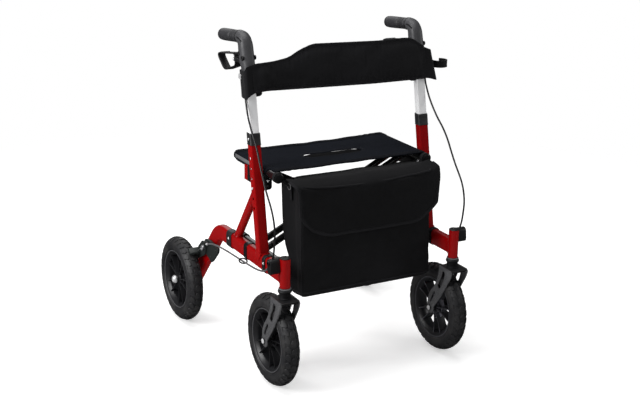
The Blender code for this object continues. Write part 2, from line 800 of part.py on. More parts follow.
def handle_body(name, side, materials):
    """A sleeve on the inner tube that bends back into the core of the grip and holds the lever's pin."""
    x = side * FRAME_X
    corner = elbow_corner()
    into = Vector((COLUMN_LEAN, 1)).normalized()
    out = Vector((math.cos(GRIP_TILT), math.sin(GRIP_TILT)))
    straight = [Vector((column_y(z), z)) for z in (HANDLE_BOTTOM, HANDLE_BOTTOM + 0.006, 0.836)]
    straight.append(Vector((column_y(0.850) + HANDLE_SHIFT * 0.6, 0.850)))
    sizes = [(0.031, 0.035, 0.012), (0.034, 0.038, 0.014), (0.034, 0.038, 0.014), (0.037, 0.039, 0.015)]
    bend = []
    for step in range(7):
        t = step / 6
        first, last = corner - into * ELBOW_REACH, corner + out * ELBOW_REACH
        bend.append(first * (1 - t) ** 2 + corner * 2 * t * (1 - t) + last * t**2)
        sizes.append((0.037 - 0.003 * t, 0.039 - 0.005 * t, 0.015 + 0.0015 * t))
    sizes.append((0.0332, 0.0332, 0.0163))
    path = straight + bend + [Vector(GRIP_START) - out * GAP]
    bm = bmesh.new()
    side_sweep(bm, x, path, [rounded_section(*size, 3) for size in sizes])
    obj = make_object(name, bm, materials["grey_plastic"])

    extras = bmesh.new()
    start = Vector((x, *GRIP_START))
    rod(extras, start - grip_direction() * 0.01, start + grip_direction() * CORE_LENGTH, CORE_RADIUS, 12)
    combine(obj, "UNION", extras)

    cheeks = bmesh.new()
    outline = strip_outline([(column_y(LEVER_HINGE[1]), 0.850), LEVER_HINGE], 0.016)
    inner = LEVER_WIDTH / 2 + GAP
    for low, high in ((-CHEEK_OUTER, -inner), (inner, CHEEK_OUTER)):
        prism(cheeks, outline, "X", x + low, x + high)
    combine(obj, "UNION", cheeks)

    pin = bmesh.new()
    rod(pin, *lever_axis(x, inner + 0.002), HINGE_PIN_RADIUS, 10)
    combine(obj, "UNION", pin)

    port = bmesh.new()
    port_foot = Vector((side * CABLE_PORT_X, *cable_port()))
    port_head = port_foot + Vector((0, COLUMN_LEAN, 1)) * CABLE_PORT_LENGTH
    rod(port, port_foot, port_head, CABLE_PORT_RADIUS, 10)
    combine(obj, "UNION", port)

    socket = bmesh.new()
    width, depth, radius = INNER_TUBE_SIZE
    size = (width + 2 * GAP, depth + 2 * GAP, radius)
    loft(socket, column_rings(x, size, (HANDLE_BOTTOM - 0.02, INNER_TUBE_TOP + GAP)))
    combine(obj, "DIFFERENCE", socket)


def cable_port():
    """Where the brake cable meets the handle, as (y, z)."""
    return (column_y(HANDLE_BOTTOM - 0.002) - 0.005, HANDLE_BOTTOM - 0.002)


def grip(name, side, materials):
    start = Vector((side * FRAME_X, *GRIP_START))
    radius = GRIP_RADIUS
    profile = [
        (0, radius + 0.0012),
        (0.006, radius + 0.0012),
        (0.008, radius - 0.0004),
        (GRIP_LENGTH * 0.55, radius),
        (GRIP_LENGTH - 0.008, radius),
        (GRIP_LENGTH - 0.003, radius - 0.0025),
        (GRIP_LENGTH, radius - 0.008),
    ]
    bm = bmesh.new()
    turned(bm, profile, start, grip_direction(), 16)
    obj = make_object(name, bm, materials["grip_rubber"])
    bore = bmesh.new()
    far = start + grip_direction() * (CORE_LENGTH + GAP)
    rod(bore, start - grip_direction() * 0.01, far, CORE_RADIUS + GAP, 12)
    combine(obj, "DIFFERENCE", bore)


def lever_axis(x, half_length):
    """Both ends of a stretch of the lever's hinge axis."""
    return [(x + along, *LEVER_HINGE) for along in (-half_length, half_length)]


def lever_path():
    """The loop of the brake lever, as (y, z) points round its middle line."""
    corners = [Vector(corner) for corner in LEVER_CORNERS]
    points = []
    for index, corner in enumerate(corners):
        before = (corners[index - 1] - corner).normalized()
        after = (corners[(index + 1) % 4] - corner).normalized()
        reach = min(LEVER_RADII[index] / math.tan(before.angle(after) / 2), 0.022)
        first, last = corner + before * reach, corner + after * reach
        for step in range(5):
            t = step / 4
            points.append(first * (1 - t) ** 2 + corner * 2 * t * (1 - t) + last * t**2)
    return points


def brake_lever(name, side, materials):
    x = side * FRAME_X
    origin = (x, *LEVER_HINGE)
    path = lever_path()
    half_width, half_thickness = LEVER_WIDTH / 2, LEVER_THICKNESS / 2
    rings = []
    for index, point in enumerate(path):
        along = (path[(index + 1) % len(path)] - path[index - 1]).normalized()
        out = Vector((-along.y, along.x)) * half_thickness
        rings.append(
            [
                (x + u * half_width, point.x + v * out.x, point.y + v * out.y)
                for u, v in ((1, 1), (-1, 1), (-1, -1), (1, -1))
            ]
        )
    bm = bmesh.new()
    loft(bm, rings, closed=True)
    obj = make_object(name, bm, materials["black_plastic"], origin)
    knuckle = bmesh.new()
    rod(knuckle, *lever_axis(x, half_width), KNUCKLE_RADIUS, 12)
    combine(obj, "UNION", knuckle)
    bore = bmesh.new()
    rod(bore, *lever_axis(x, half_width + 0.005), HINGE_PIN_RADIUS + GAP, 10)
    combine(obj, "DIFFERENCE", bore)


# Brake cables and rear brakes


def cable_route(side):
    """The cable's own points, from the handle down to the guide, back along the rail and to the brake."""
    port_y, port_z = cable_port()
    lean = Vector((COLUMN_LEAN, 1)).normalized()
    points = [
        (CABLE_PORT_X, port_y - lean.x * 3 * GAP, port_z - lean.y * 3 * GAP),
        (CABLE_PORT_X, port_y - lean.x * 0.012, port_z - lean.y * 0.012),
        (0.2795, -0.1245, 0.746),
        (0.2820, -0.1450, 0.706),
        (0.2840, -0.1775, 0.667),
        (0.2865, -0.2030, 0.638),
        (0.2890, -0.2215, 0.610),
        (0.2900, -0.2395, 0.578),
        (0.2905, -0.2600, 0.546),
        (0.2910, -0.2960, 0.500),
        (0.2910, -0.3130, 0.456),
        (0.2910, -0.3140, 0.412),
        (0.2910, -0.3110, 0.382),
        (0.2910, -0.3030, 0.356),
        (0.2910, -0.2820, 0.336),
        (0.2910, -0.2550, 0.3235),
        (0.2910, -0.2100, 0.318),
        (0.2910, -0.1500, 0.3135),
        (0.2910, -0.0900, 0.307),
        (0.2905, -0.0200, 0.303),
        (0.2900, 0.0390, 0.297),
        (0.2890, 0.0810, 0.289),
        (0.2885, 0.1060, 0.2815),
        (0.2885, 0.1240 - GAP, 0.2755),
    ]
    out, forward = CABLE_BOW[side]
    route = []
    for x, y, z in points:
        bow = max(1 - ((z - 0.52) / 0.15) ** 2, 0)
        route.append((side * (x + out * bow), y + forward * bow, z))
    return smooth_route(route, CABLE_POINTS)


def brake_cable(name, side, materials):
    route = cable_route(side)
    curve = bpy.data.curves.new(name, "CURVE")
    curve.dimensions = "3D"
    spline = curve.splines.new("POLY")
    spline.points.add(len(route) - 1)
    for point, place in zip(spline.points, route):
        point.co = (*place, 1)
    curve.bevel_depth = CABLE_RADIUS
    curve.bevel_resolution = 2
    curve.use_fill_caps = True
    curve.materials.append(materials["black_plastic"])
    obj = bpy.data.objects.new(name, curve)
    bpy.context.scene.collection.objects.link(obj)


def cable_guide(name, side, materials):
    """A clip on the frame's front end that turns the cable back along the rail."""
    outline = [(y - 0.302, z + 0.353) for y, z in rounded_section(0.030, 0.044, 0.012, 3)]
    bm = bmesh.new()
    x = side * FRAME_X
    prism(bm, outline, "X", x + side * (RAIL_WIDTH / 2 + GAP), side * 0.304)
    obj = make_object(name, bm, materials["black_plastic"])
    head_clearance = bmesh.new()
    rod(head_clearance, (x, CASTER_Y, 0.30), (x, CASTER_Y, 0.40), HEAD_TUBE_RADIUS + GAP, 16)
    combine(obj, "DIFFERENCE", head_clearance)
    channel = bmesh.new()
    near = [p for p in cable_route(side) if p.z < 0.412 and p.y < -0.235]
    sideways = Vector((1, 0, 0))
    rings = []
    for index, point in enumerate(near):
        along = near[min(index + 1, len(near) - 1)] - near[max(index - 1, 0)]
        other = along.normalized().cross(sideways)
        ring = []
        for step in range(10):
            angle = 2 * math.pi * step / 10
            out = sideways * math.cos(angle) + other * math.sin(angle)
            ring.append(point + out * (CABLE_RADIUS + 0.0006))
        rings.append(ring)
    loft(channel, rings)
    combine(obj, "DIFFERENCE", channel)


def brake_bracket(name, side, materials):
    outline = [
        (0.059, 0.2800),
        (0.063, 0.2660),
        (0.097, 0.2320),
        (0.108, 0.2235),
        (0.140, 0.2360),
        (0.160, 0.2430),
        (0.166, 0.2580),
        (0.150, 0.2820),
        (0.120, 0.2870),
    ]
    bm = bmesh.new()
    prism(bm, outline, "X", side * BRACKET_INNER, side * BRACKET_OUTER)
    obj = make_object(name, bm, materials["black_paint"])
    lug = bmesh.new()
    prism(
        lug,
        [(0.1240, 0.2690), (0.1340, 0.2660), (0.1370, 0.2790), (0.1270, 0.2820)],
        "X",
        side * (BRACKET_OUTER - 0.002),
        side * 0.2945,
    )
    combine(obj, "UNION", lug)
    bore = bmesh.new()
    rod(bore, (side * 0.27, *BRAKE_PIVOT), (side * 0.29, *BRAKE_PIVOT), 0.0035, 10)
    combine(obj, "DIFFERENCE", bore)


def brake_arm(name, side, materials):
    """The arm with its shoe over the tread. The origin is on its pivot."""
    origin = (side * (BRACKET_OUTER + ARM_OUTER) / 2, *BRAKE_PIVOT)
    outline = strip_outline([BRAKE_PIVOT, (0.178, 0.2405), (0.201, 0.2150)], 0.0155)
    bm = bmesh.new()
    prism(bm, outline, "X", side * (BRACKET_OUTER + GAP), side * ARM_OUTER)
    obj = make_object(name, bm, materials["black_paint"], origin)
    shoe = bmesh.new()
    centre = Vector(SHOE_CENTRE)
    out = (centre - Vector((REAR_AXLE_Y, WHEEL_RADIUS))).normalized()
    along = Vector((-out.y, out.x))
    section = rounded_section(0.021, 0.0115, 0.003)
    outline = [tuple(centre + along * u + out * v) for u, v in section]
    prism(shoe, outline, "X", side * (BRACKET_OUTER + 2 * GAP), side * SHOE_OUTER)
    combine(obj, "UNION", shoe)
    pivot = bmesh.new()
    profile = [
        (BRACKET_INNER + 0.0012, 0.0031),
        (ARM_OUTER - 0.0008, 0.0031),
        (ARM_OUTER - 0.0008, 0.0058),
        (ARM_OUTER + 0.0035, 0.0058),
    ]
    turned(pivot, profile, (0, *BRAKE_PIVOT), (side, 0, 0), 12)
    combine(obj, "UNION", pivot)
    hole = bmesh.new()
    rod(hole, (side * 0.27, 0.2005, 0.2155), (side * 0.30, 0.2005, 0.2155), 0.0035, 10)
    combine(obj, "DIFFERENCE", hole)


# Soft goods and what hangs on them


def seat_edge_front(x):
    return SEAT_FRONT + SEAT_FRONT_HOLLOW * (1 - (x / SEAT_RAIL_X) ** 2)


def seat_edge_back(x):
    past = abs(x) - (SEAT_RAIL_X + 0.016 - SEAT_CORNER)
    if past <= 0:
        return SEAT_BACK
    return SEAT_BACK - (SEAT_CORNER - math.sqrt(max(SEAT_CORNER**2 - past**2, 0)))


def seat_fabric(name, materials):
    """Cloth stretched over both seat rails, its back half wrapped round them, with the pull strap's slot."""
    inner = SEAT_RAIL_RADIUS + GAP
    outer = inner + FABRIC_THICKNESS
    sag = 0.004
    over = []
    for side in (-1, 1):
        angles = range(180, 89, -18) if side < 0 else range(90, -1, -18)
        over += [(side * SEAT_RAIL_X, angle) for angle in angles]
    top = [arc((x, SEAT_RAIL_Z), outer, angle, angle, 1)[0] for x, angle in over]
    under = [arc((x, SEAT_RAIL_Z), inner, angle, angle, 1)[0] for x, angle in over]
    level = 0.214  # where the cloth is past the rail and starts to sag
    middle = [(level * share, -sag * (1 - share**2)) for share in (-1, -0.7, -0.35, 0, 0.35, 0.7, 1)]
    half = len(top) // 2
    top[half:half] = [(x, SEAT_RAIL_Z + outer + drop) for x, drop in middle]
    under[half:half] = [(x, SEAT_RAIL_Z + inner + drop) for x, drop in middle]
    outline = top + under[::-1]
    rings = []
    for share in (0, 1):
        ring = []
        for x, z in outline:
            y = seat_edge_front(x) if share == 0 else seat_edge_back(x)
            ring.append((x, y, z))
        rings.append(ring)
    bm = bmesh.new()
    loft(bm, rings)
    obj = make_object(name, bm, materials["seat_cloth"])
    for side in (-1, 1):
        sleeve = bmesh.new()
        thin, wide = inner + 0.0004, outer - 0.0006
        section = [(-0.044, thin), (-0.044, wide), (0.0195, wide), (0.0195, thin)]
        turned_ring(sleeve, section, (side * SEAT_RAIL_X, 0, SEAT_RAIL_Z), (0, 1, 0), 20)
        combine(obj, "UNION", sleeve)
    slot = bmesh.new()
    half_slot = SLOT_WIDTH / 2
    ends = [(SLOT_X[0] + half_slot, SLOT_Y), (SLOT_X[1] - half_slot, SLOT_Y)]
    outline = strip_outline(ends, SLOT_WIDTH)
    loft(slot, [[(x, y, z) for x, y in outline] for z in (0.54, 0.60)])
    combine(obj, "DIFFERENCE", slot)


def pull_strap(name, materials):
    """The webbing in the seat's slot. It lies level with the cloth, and its ends are sewn on below it."""
    under, level = SEAT_RAIL_Z + 0.0068, SEAT_RAIL_Z + 0.0092
    left, right = SLOT_X
    heights = [(left - 0.012, under), (left + 0.010, under), (left + 0.030, level)]
    heights += [(right - 0.030, level), (right - 0.010, under), (right + 0.012, under)]
    low, high = SLOT_Y - STRAP_WIDTH / 2, SLOT_Y + STRAP_WIDTH / 2
    rings = []
    for x, z in heights:
        top = z + STRAP_THICKNESS
        rings.append([(x, low, z), (x, high, z), (x, high, top), (x, low, top)])
    bm = bmesh.new()
    loft(bm, rings)
    make_object(name, bm, materials["black_cloth"])


BAND_TOP = [
    (-0.290, 0.829),
    (-0.261, 0.844),
    (-0.205, 0.849),
    (-0.160, 0.856),
    (-0.127, 0.873),
    (-0.087, 0.886),
    (0.117, 0.880),
    (0.200, 0.882),
    (0.225, 0.879),
    (0.252, 0.860),
    (0.290, 0.842),
]
BAND_BOTTOM = [
    (-0.290, 0.757),
    (-0.267, 0.774),
    (-0.235, 0.779),
    (0.090, 0.771),
    (0.265, 0.770),
    (0.290, 0.762),
]
FLAP_TOP = 0.832
# from the end behind a handle round its outer side to the front: x, y at z = 0.80, share of the flare
BAND_SIDE = [
    (0.247, -0.0863, 0.0),
    (0.266, -0.0863, 0.1),
    (0.276, -0.0893, 0.4),
    (0.281, -0.0970, 0.8),
    (0.2835, -0.110, 1.0),
    (0.285, -0.125, 1.0),
    (0.285, -0.133, 1.0),
    (0.282, -0.1385, 0.7),
    (0.274, -0.1395, 0.3),
]
BAND_FLAP_POINTS = 6
BAND_FRONT_Y = (-0.1395, -0.1418)  # at the handles and in the middle


def back_band(name, materials):
    """A padded band in front of both handles whose thin ends wrap round their outer sides."""
    near, middle = BAND_FRONT_Y
    front = []
    for x in (0.252, 0.225, 0.200, 0.15, 0.117, 0.06):
        front.append((x, near + (middle - near) * (1 - (x / 0.252) ** 2), 0.0))
    path = [(-x, y, 0.0) for x, y, _ in BAND_SIDE + front] + [(0.0, middle, 0.0)]
    path += reversed(BAND_SIDE + front)
    rings = []
    for index, (x, y, flare) in enumerate(path):
        before, after = path[max(index - 1, 0)], path[min(index + 1, len(path) - 1)]
        along = Vector((after[0] - before[0], after[1] - before[1])).normalized()
        across = Vector((-along.y, along.x))
        from_end = min(index, len(path) - 1 - index)
        top, bottom = height_at(BAND_TOP, x), height_at(BAND_BOTTOM, x)
        if from_end < BAND_FLAP_POINTS:
            top, bottom = FLAP_TOP, bottom - 0.006
        padding = BAND_FRONT_PADDING if from_end > len(BAND_SIDE) else 0
        thick = (BAND_HALF_THICKNESS + padding, -BAND_HALF_THICKNESS)
        ring = []
        for offset, z, flared in (
            (thick[0], bottom, BAND_RIGHT_FLARE[1]),
            (thick[1], bottom, BAND_RIGHT_FLARE[1]),
            (thick[1], top, BAND_RIGHT_FLARE[0]),
            (thick[0], top, BAND_RIGHT_FLARE[0]),
        ):
            lean = COLUMN_LEAN * (z - 0.80)
            ring.append((x + flare * flared + offset * across.x, y + offset * across.y + lean, z))
        rings.append(ring)
    bm = bmesh.new()
    loft(bm, rings)
    make_object(name, bm, materials["black_cloth"])


# z, y of the front, y of the back
BAG_LEVELS = [
    (0.239, -0.285, -0.236),
    (0.250, -0.286, -0.2315),
    (0.336, -0.280, -0.224),
    (0.365, -0.278, -0.202),
    (0.403, -0.276, -0.188),
    (0.444, -0.2755, -0.182),
    (0.523, -0.275, -0.176),
    (0.545, -0.272, -0.176),
]
FLAP_OUTLINE = [
    (-0.195, 0.545),
    (-0.195, 0.467),
    (-0.180, 0.443),
    (-0.159, 0.423),
    (-0.096, 0.403),
    (0.153, 0.403),
    (0.201, 0.427),
    (0.222, 0.445),
    (0.233, 0.484),
    (0.234, 0.515),
    (0.216, 0.545),
]


def bag_ring(z, front, back, inset):
    """A level cut through the bag, wider at its back, and smaller by the inset."""
    width, depth = BAG_RIGHT - BAG_LEFT, back - front
    middle_x, middle_y = (BAG_LEFT + BAG_RIGHT) / 2, (front + back) / 2
    section = rounded_section(width - 2 * inset, depth - 2 * inset, 0.009 - inset)
    ring = []
    for u, v in section:
        wider = BAG_BACK_WIDER[0] if u < 0 else BAG_BACK_WIDER[1]
        share = (v / depth + 0.5) * 2 * u / width
        ring.append((middle_x + u + wider * share, middle_y + v, z))
    return ring


def bag(name, materials):
    """An open-topped bag in front of the cross frame, with a flap over its front."""
    bm = bmesh.new()
    loft(bm, [bag_ring(*level, 0) for level in BAG_LEVELS])
    obj = make_object(name, bm, materials["black_cloth"])
    cavity = bmesh.new()
    inner = [bag_ring(*level, BAG_WALL) for level in BAG_LEVELS]
    inner[0] = [(x, y, z + BAG_WALL) for x, y, z in inner[0]]
    inner.append([(x, y, z + 0.02) for x, y, z in inner[-1]])
    loft(cavity, inner)
    combine(obj, "DIFFERENCE", cavity)
    flap = bmesh.new()
    prism(flap, FLAP_OUTLINE, "Y", -0.2795, -0.2735)
    combine(obj, "UNION", flap)


def cane_clip(name, materials):
    """An open ring on the right handle's side that a cane snaps into."""
    centre = (0.3330, -0.107)
    inner, outer = 0.0200, 0.0230
    low, high = 0.7885, 0.8085
    opening = arc(centre, outer, -150 + 360, -60, 27)
    closing = arc(centre, inner, -60, -150 + 360, 27)
    bm = bmesh.new()
    loft(bm, [[(x, y, z) for x, y in opening + closing] for z in (low, high)])
    obj = make_object(name, bm, materials["black_plastic"])
    stem = bmesh.new()
    outline = [(0.2985, -0.112), (0.3115, -0.111), (0.3115, -0.096), (0.2985, -0.095)]
    loft(stem, [[(x, y, z) for x, y in outline] for z in (low, high)])
    combine(obj, "UNION", stem)


# The whole walker


def build_side(word, side, materials):
    front_centre = (side * FRONT_WHEEL_X, FRONT_AXLE_Y, WHEEL_RADIUS)
    rear_centre = (side * REAR_WHEEL_X, REAR_AXLE_Y, WHEEL_RADIUS)
    tyre(f"{word}_front_tyre", front_centre, materials)
    rim(f"{word}_front_rim", front_centre, FRONT_HUB_HALF_LENGTH, FRONT_BOLT_RADIUS, materials)
    front_axle(f"{word}_front_axle", front_centre, materials)
    tyre(f"{word}_rear_tyre", rear_centre, materials)
    rim(f"{word}_rear_rim", rear_centre, REAR_HUB_HALF_LENGTH, REAR_BOLT_RADIUS, materials)
    rear_axle(f"{word}_rear_axle", side, materials)
    fork(f"{word}_fork", side, materials)
    caster_stem(f"{word}_caster_stem", side, materials)
    head_tube(f"{word}_head_tube", side, materials)
    lower_rail(f"{word}_lower_rail", side, materials)
    upright(f"{word}_upright", side, materials)
    rear_brace(f"{word}_rear_brace", side, materials)
    seat_saddle(f"{word}_seat_saddle", side, materials)
    collar(f"{word}_collar", side, materials)
    inner_tube(f"{word}_inner_tube", side, materials)
    height_button(f"{word}_height_button", side, materials)
    black, grey = materials["black_plastic"], materials["grey_metal"]
    pivot_clamp(f"{word}_front_pivot_clamp", side, *FRONT_CLAMP_Y, black)
    pivot_clamp(f"{word}_rear_pivot_clamp", side, *REAR_CLAMP_Y, grey)
    handle_body(f"{word}_handle_body", side, materials)
    grip(f"{word}_grip", side, materials)
    brake_lever(f"{word}_brake_lever", side, materials)
    brake_cable(f"{word}_brake_cable", side, materials)
    cable_guide(f"{word}_cable_guide", side, materials)
    brake_bracket(f"{word}_brake_bracket", side, materials)
    brake_arm(f"{word}_brake_arm", side, materials)
    seat_rail(f"{word}_seat_rail", side, materials)


def add_axis(name, place, nodes, parent=None):
    """An empty on a joint's axis that carries the nodes that move about it."""
    axis = bpy.data.objects.new(f"{name}_axis", None)
    axis.empty_display_size = 0.03
    axis.location = place
    bpy.context.scene.collection.objects.link(axis)
    if parent:
        carry(parent, axis)
    for node in nodes:
        carry(axis, bpy.data.objects[node])
    return axis


def carry(parent, child):
    """Parents the child and leaves it where it is. Every parent here is an unrotated empty."""
    child.parent = parent
    child.matrix_parent_inverse = Matrix.Translation(-parent.location)


def add_side_axes(word, side, frame):
    x = side * FRAME_X
    front_centre = (side * FRONT_WHEEL_X, FRONT_AXLE_Y, WHEEL_RADIUS)
    rear_centre = (side * REAR_WHEEL_X, REAR_AXLE_Y, WHEEL_RADIUS)
    names = [f"{word}_{part}" for part in ("fork", "caster_stem", "front_axle")]
    caster = add_axis(f"{word}_caster", (x, CASTER_Y, 0), names, frame)
    names = [f"{word}_front_tyre", f"{word}_front_rim"]
    add_axis(f"{word}_front_wheel", front_centre, names, caster)
    add_axis(f"{word}_rear_wheel", rear_centre, [f"{word}_rear_tyre", f"{word}_rear_rim"], frame)
    names = [f"{word}_{part}" for part in ("inner_tube", "handle_body", "grip")]
    names.append("back_band" if side < 0 else "cane_clip")
    handle = add_axis(f"{word}_handle", (x, COLUMN_Y, COLUMN_Z), names, frame)
    add_axis(f"{word}_lever", (x, *LEVER_HINGE), [f"{word}_brake_lever"], handle)
    arm_x = side * (BRACKET_OUTER + ARM_OUTER) / 2
    add_axis(f"{word}_brake", (arm_x, *BRAKE_PIVOT), [f"{word}_brake_arm"], frame)
    button = (side * (FRAME_X + UPRIGHT_SIZE[0] / 2), column_y(BUTTON_HEIGHT), BUTTON_HEIGHT)
    add_axis(f"{word}_button", button, [f"{word}_height_button"], frame)


def add_axes():
    """The joints as a tree of empties, from the left side frame across the cross frame to the right one."""
    fixed = ("lower_rail", "upright", "rear_brace", "head_tube", "seat_saddle", "collar")
    fixed += ("front_pivot_clamp", "rear_pivot_clamp", "cable_guide", "brake_bracket")
    fixed += ("brake_cable", "rear_axle")
    centre = (0, 0, (RAIL_Z + SEAT_RAIL_Z) / 2)
    names = [f"left_{part}" for part in fixed] + ["bag"]
    left_frame = add_axis("left_frame", (-FRAME_X, 0, 0), names)
    names = ["cross_frame_pair", "right_seat_rail", "centre_bolt", "seat_fabric", "seat_pull_strap"]
    fold = add_axis("fold", (-SEAT_RAIL_X, 0, RAIL_Z), names, left_frame)
    names = ["cross_frame_single", "left_seat_rail"]
    scissor = add_axis("cross_scissor", centre, names, fold)
    names = [f"right_{part}" for part in fixed]
    right_frame = add_axis("right_frame", (SEAT_RAIL_X, 0, RAIL_Z), names, scissor)
    add_side_axes("left", SIDES["left"], left_frame)
    add_side_axes("right", SIDES["right"], right_frame)


def main():
    clear_scene()
    materials = make_materials()
    for word, side in SIDES.items():
        build_side(word, side, materials)
    cross_frame("cross_frame_pair", -1, CROSS_A_BARS, materials["black_paint"])
    cross_frame("cross_frame_single", 1, (CROSS_B_BAR,), materials["black_paint"])
    centre_bolt("centre_bolt", materials)
    seat_fabric("seat_fabric", materials)
    pull_strap("seat_pull_strap", materials)
    back_band("back_band", materials)
    bag("bag", materials)
    cane_clip("cane_clip", materials)
    add_axes()


main()
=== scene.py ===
"""Detailed pieces for a folding rollator walker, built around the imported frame.

Lengths are in metres. +X is the walker's right side, -Y its front, and it stands on z = 0.
Pieces that both sides have are modelled on the right side and copied to the left.
"""

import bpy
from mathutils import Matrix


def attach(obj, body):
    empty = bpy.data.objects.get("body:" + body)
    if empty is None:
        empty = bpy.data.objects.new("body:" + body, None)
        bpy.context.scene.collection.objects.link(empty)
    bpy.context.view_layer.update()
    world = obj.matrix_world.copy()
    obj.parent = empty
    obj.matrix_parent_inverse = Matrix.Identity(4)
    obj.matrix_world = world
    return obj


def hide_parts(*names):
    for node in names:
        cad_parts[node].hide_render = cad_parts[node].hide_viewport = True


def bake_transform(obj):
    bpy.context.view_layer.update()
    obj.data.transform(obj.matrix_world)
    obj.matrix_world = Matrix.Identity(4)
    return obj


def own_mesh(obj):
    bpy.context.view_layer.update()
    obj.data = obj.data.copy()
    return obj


bl_info = {
    "name": "Rollator walker",
    "version": (1, 0, 0),
    "blender": (4, 5, 0),
    "location": "3D View > Sidebar > Walker",
    "description": "Builds the detailed pieces of a folding rollator walker",
    "category": "Object",
}

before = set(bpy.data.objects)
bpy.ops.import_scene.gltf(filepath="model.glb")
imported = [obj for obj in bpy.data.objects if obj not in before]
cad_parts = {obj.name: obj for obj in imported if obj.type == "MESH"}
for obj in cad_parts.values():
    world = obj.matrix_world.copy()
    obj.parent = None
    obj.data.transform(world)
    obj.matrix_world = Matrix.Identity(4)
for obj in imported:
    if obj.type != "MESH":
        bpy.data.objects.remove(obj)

import math

import bmesh
import bpy
from mathutils import Matrix, Vector, noise
from mathutils.bvhtree import BVHTree

SIDES = {"right": 1, "left": -1}

# Stage
FLOOR_FADE = 1.1
FLOOR_END = 2.4

# Wheels
WHEEL_RADIUS = 0.127
SECTION_RADIUS = 0.0238
SECTION_MIDDLE = WHEEL_RADIUS - SECTION_RADIUS
TREAD_DEPTH = 0.003
TREAD_PITCHES = 34
RIM_EDGE = 0.0877
RIM_HALF_WIDTH = 0.019
SPOKE_PAIRS = 5
SPOKE_SPREAD = 16
FRONT_WHEEL = (0.2632, -0.26, WHEEL_RADIUS)
REAR_WHEEL = (0.3117, 0.26, WHEEL_RADIUS)
HUB_HALF = {"front": 0.0215, "rear": 0.0187}

# Side frames
FRAME_X = 0.262
CASTER_Y = -0.3225
LEG_INNER = 0.0248
LEG_OUTER = 0.0285
HEAD_TUBE_RADIUS = 0.014
HEAD_TUBE_Z = (0.297, 0.377)
RAIL_SIZE = (0.025, 0.045, 0.009)
RAIL_Z = 0.328
RAIL_BEND = (0.0463, RAIL_Z - 0.08)
BEND_RADIUS = 0.08
DOWN_ANGLE = math.radians(48.5)
RAIL_PAST_AXLE = 0.017
RAIL_RING_Y = -0.110
COLUMN_Y = -0.1445
COLUMN_Z = 0.60
COLUMN_LEAN = 0.185
UPRIGHT_SIZE = (0.030, 0.025, 0.005)
UPRIGHT_BORE = (0.027, 0.022, 0.0043)
UPRIGHT_Z = (0.322, 0.6345)
UPRIGHT_TONGUE = 0.332
COLLAR_SIZE = (0.0325, 0.0275, 0.006)
COLLAR_TOP = 0.666
HOLE_HEIGHTS = [0.600, 0.572, 0.546, 0.521, 0.494, 0.469]
HOLE_RADIUS = 0.004
BUTTON_Z = 0.521
INNER_TUBE_SIZE = (0.0264, 0.0214, 0.004)
INNER_TUBE_Z = (0.505, 0.835)
BRACE_RADIUS = 0.0115
BRACE_ENDS = ((-0.0405, 0.353), (-0.123, 0.469))

# Cross frame and seat
SEAT_RAIL_X = 0.2293
SEAT_RAIL_Z = 0.559
SEAT_RAIL_RADIUS = 0.0125
PIVOT_RADIUS = 0.011
BAR_RADIUS = 0.0095
CROSS_A_BARS = (-0.125, -0.080)
CROSS_B_BARS = (-0.1025,)
CENTRE_Z = (RAIL_Z + SEAT_RAIL_Z) / 2
SEAT_FRONT = -0.205
SEAT_HOLLOW = 0.012
SEAT_BACK = 0.035
SEAT_CORNER = 0.016
SEAT_SAG = 0.004
SLOT_X = (-0.087, 0.092)
SLOT_Y = -0.090
SLOT_WIDTH = 0.036

# Handles and brakes
HANDLE_Z = 0.782
HANDLE_SHIFT = 0.0065
GRIP_START = (-0.050, 0.9064)
GRIP_TILT = math.radians(-5.55)
GRIP_LENGTH = 0.112
GRIP_RADIUS = 0.0163
ELBOW_REACH = 0.028
HANDLE_SLIT = [(-0.0665, 0.9080), (-0.0780, 0.9065), (-0.0895, 0.9010)]
LEVER_HINGE = (-0.043, 0.846)
LEVER_HALF = 0.011
LEVER_THICKNESS = 0.004
LEVER_CORNERS = [(-0.043, 0.828), (-0.036, 0.860), (0.077, 0.842), (0.028, 0.804)]
LEVER_RADII = [0.012, 0.012, 0.010, 0.030]
BRAKE_PIVOT = (0.151, 0.256)
BRACKET_X = (0.2748, 0.2815)
ARM_FACE = 0.2866
SHOE_CENTRE = (0.1815, 0.2381)
CABLE_RADIUS = 0.0025
CABLE_PORT_X = 0.279
CABLE_BOW = {"left": (0.0, -0.008), "right": (0.008, 0.0)}

# Back band
BAND_HALF = 0.2655
BAND_KEEP = 0.433
BAND_FRONT_Y = (-0.1395, -0.1418)
BAND_FLAP_TOP = {1: 0.832, -1: 0.8265}
BAND_TOP = [
    (-0.290, 0.8385),
    (-0.262, 0.8460),
    (-0.205, 0.849),
    (-0.160, 0.856),
    (-0.127, 0.873),
    (-0.087, 0.886),
    (0.117, 0.880),
    (0.200, 0.882),
    (0.225, 0.879),
    (0.252, 0.860),
    (0.290, 0.842),
]
BAND_BOTTOM = [
    (-0.290, 0.757), (-0.267, 0.774), (-0.235, 0.779), (0.090, 0.771), (0.265, 0.770), (0.290, 0.762)
]
BAND_SIDE = [
    (0.247, -0.0863, 0.0),
    (0.266, -0.0863, 0.1),
    (0.276, -0.0893, 0.4),
    (0.281, -0.0970, 0.8),
    (0.2835, -0.110, 1.0),
    (0.285, -0.125, 1.0),
    (0.285, -0.133, 1.0),
    (0.282, -0.1385, 0.7),
    (0.274, -0.1395, 0.3),
]

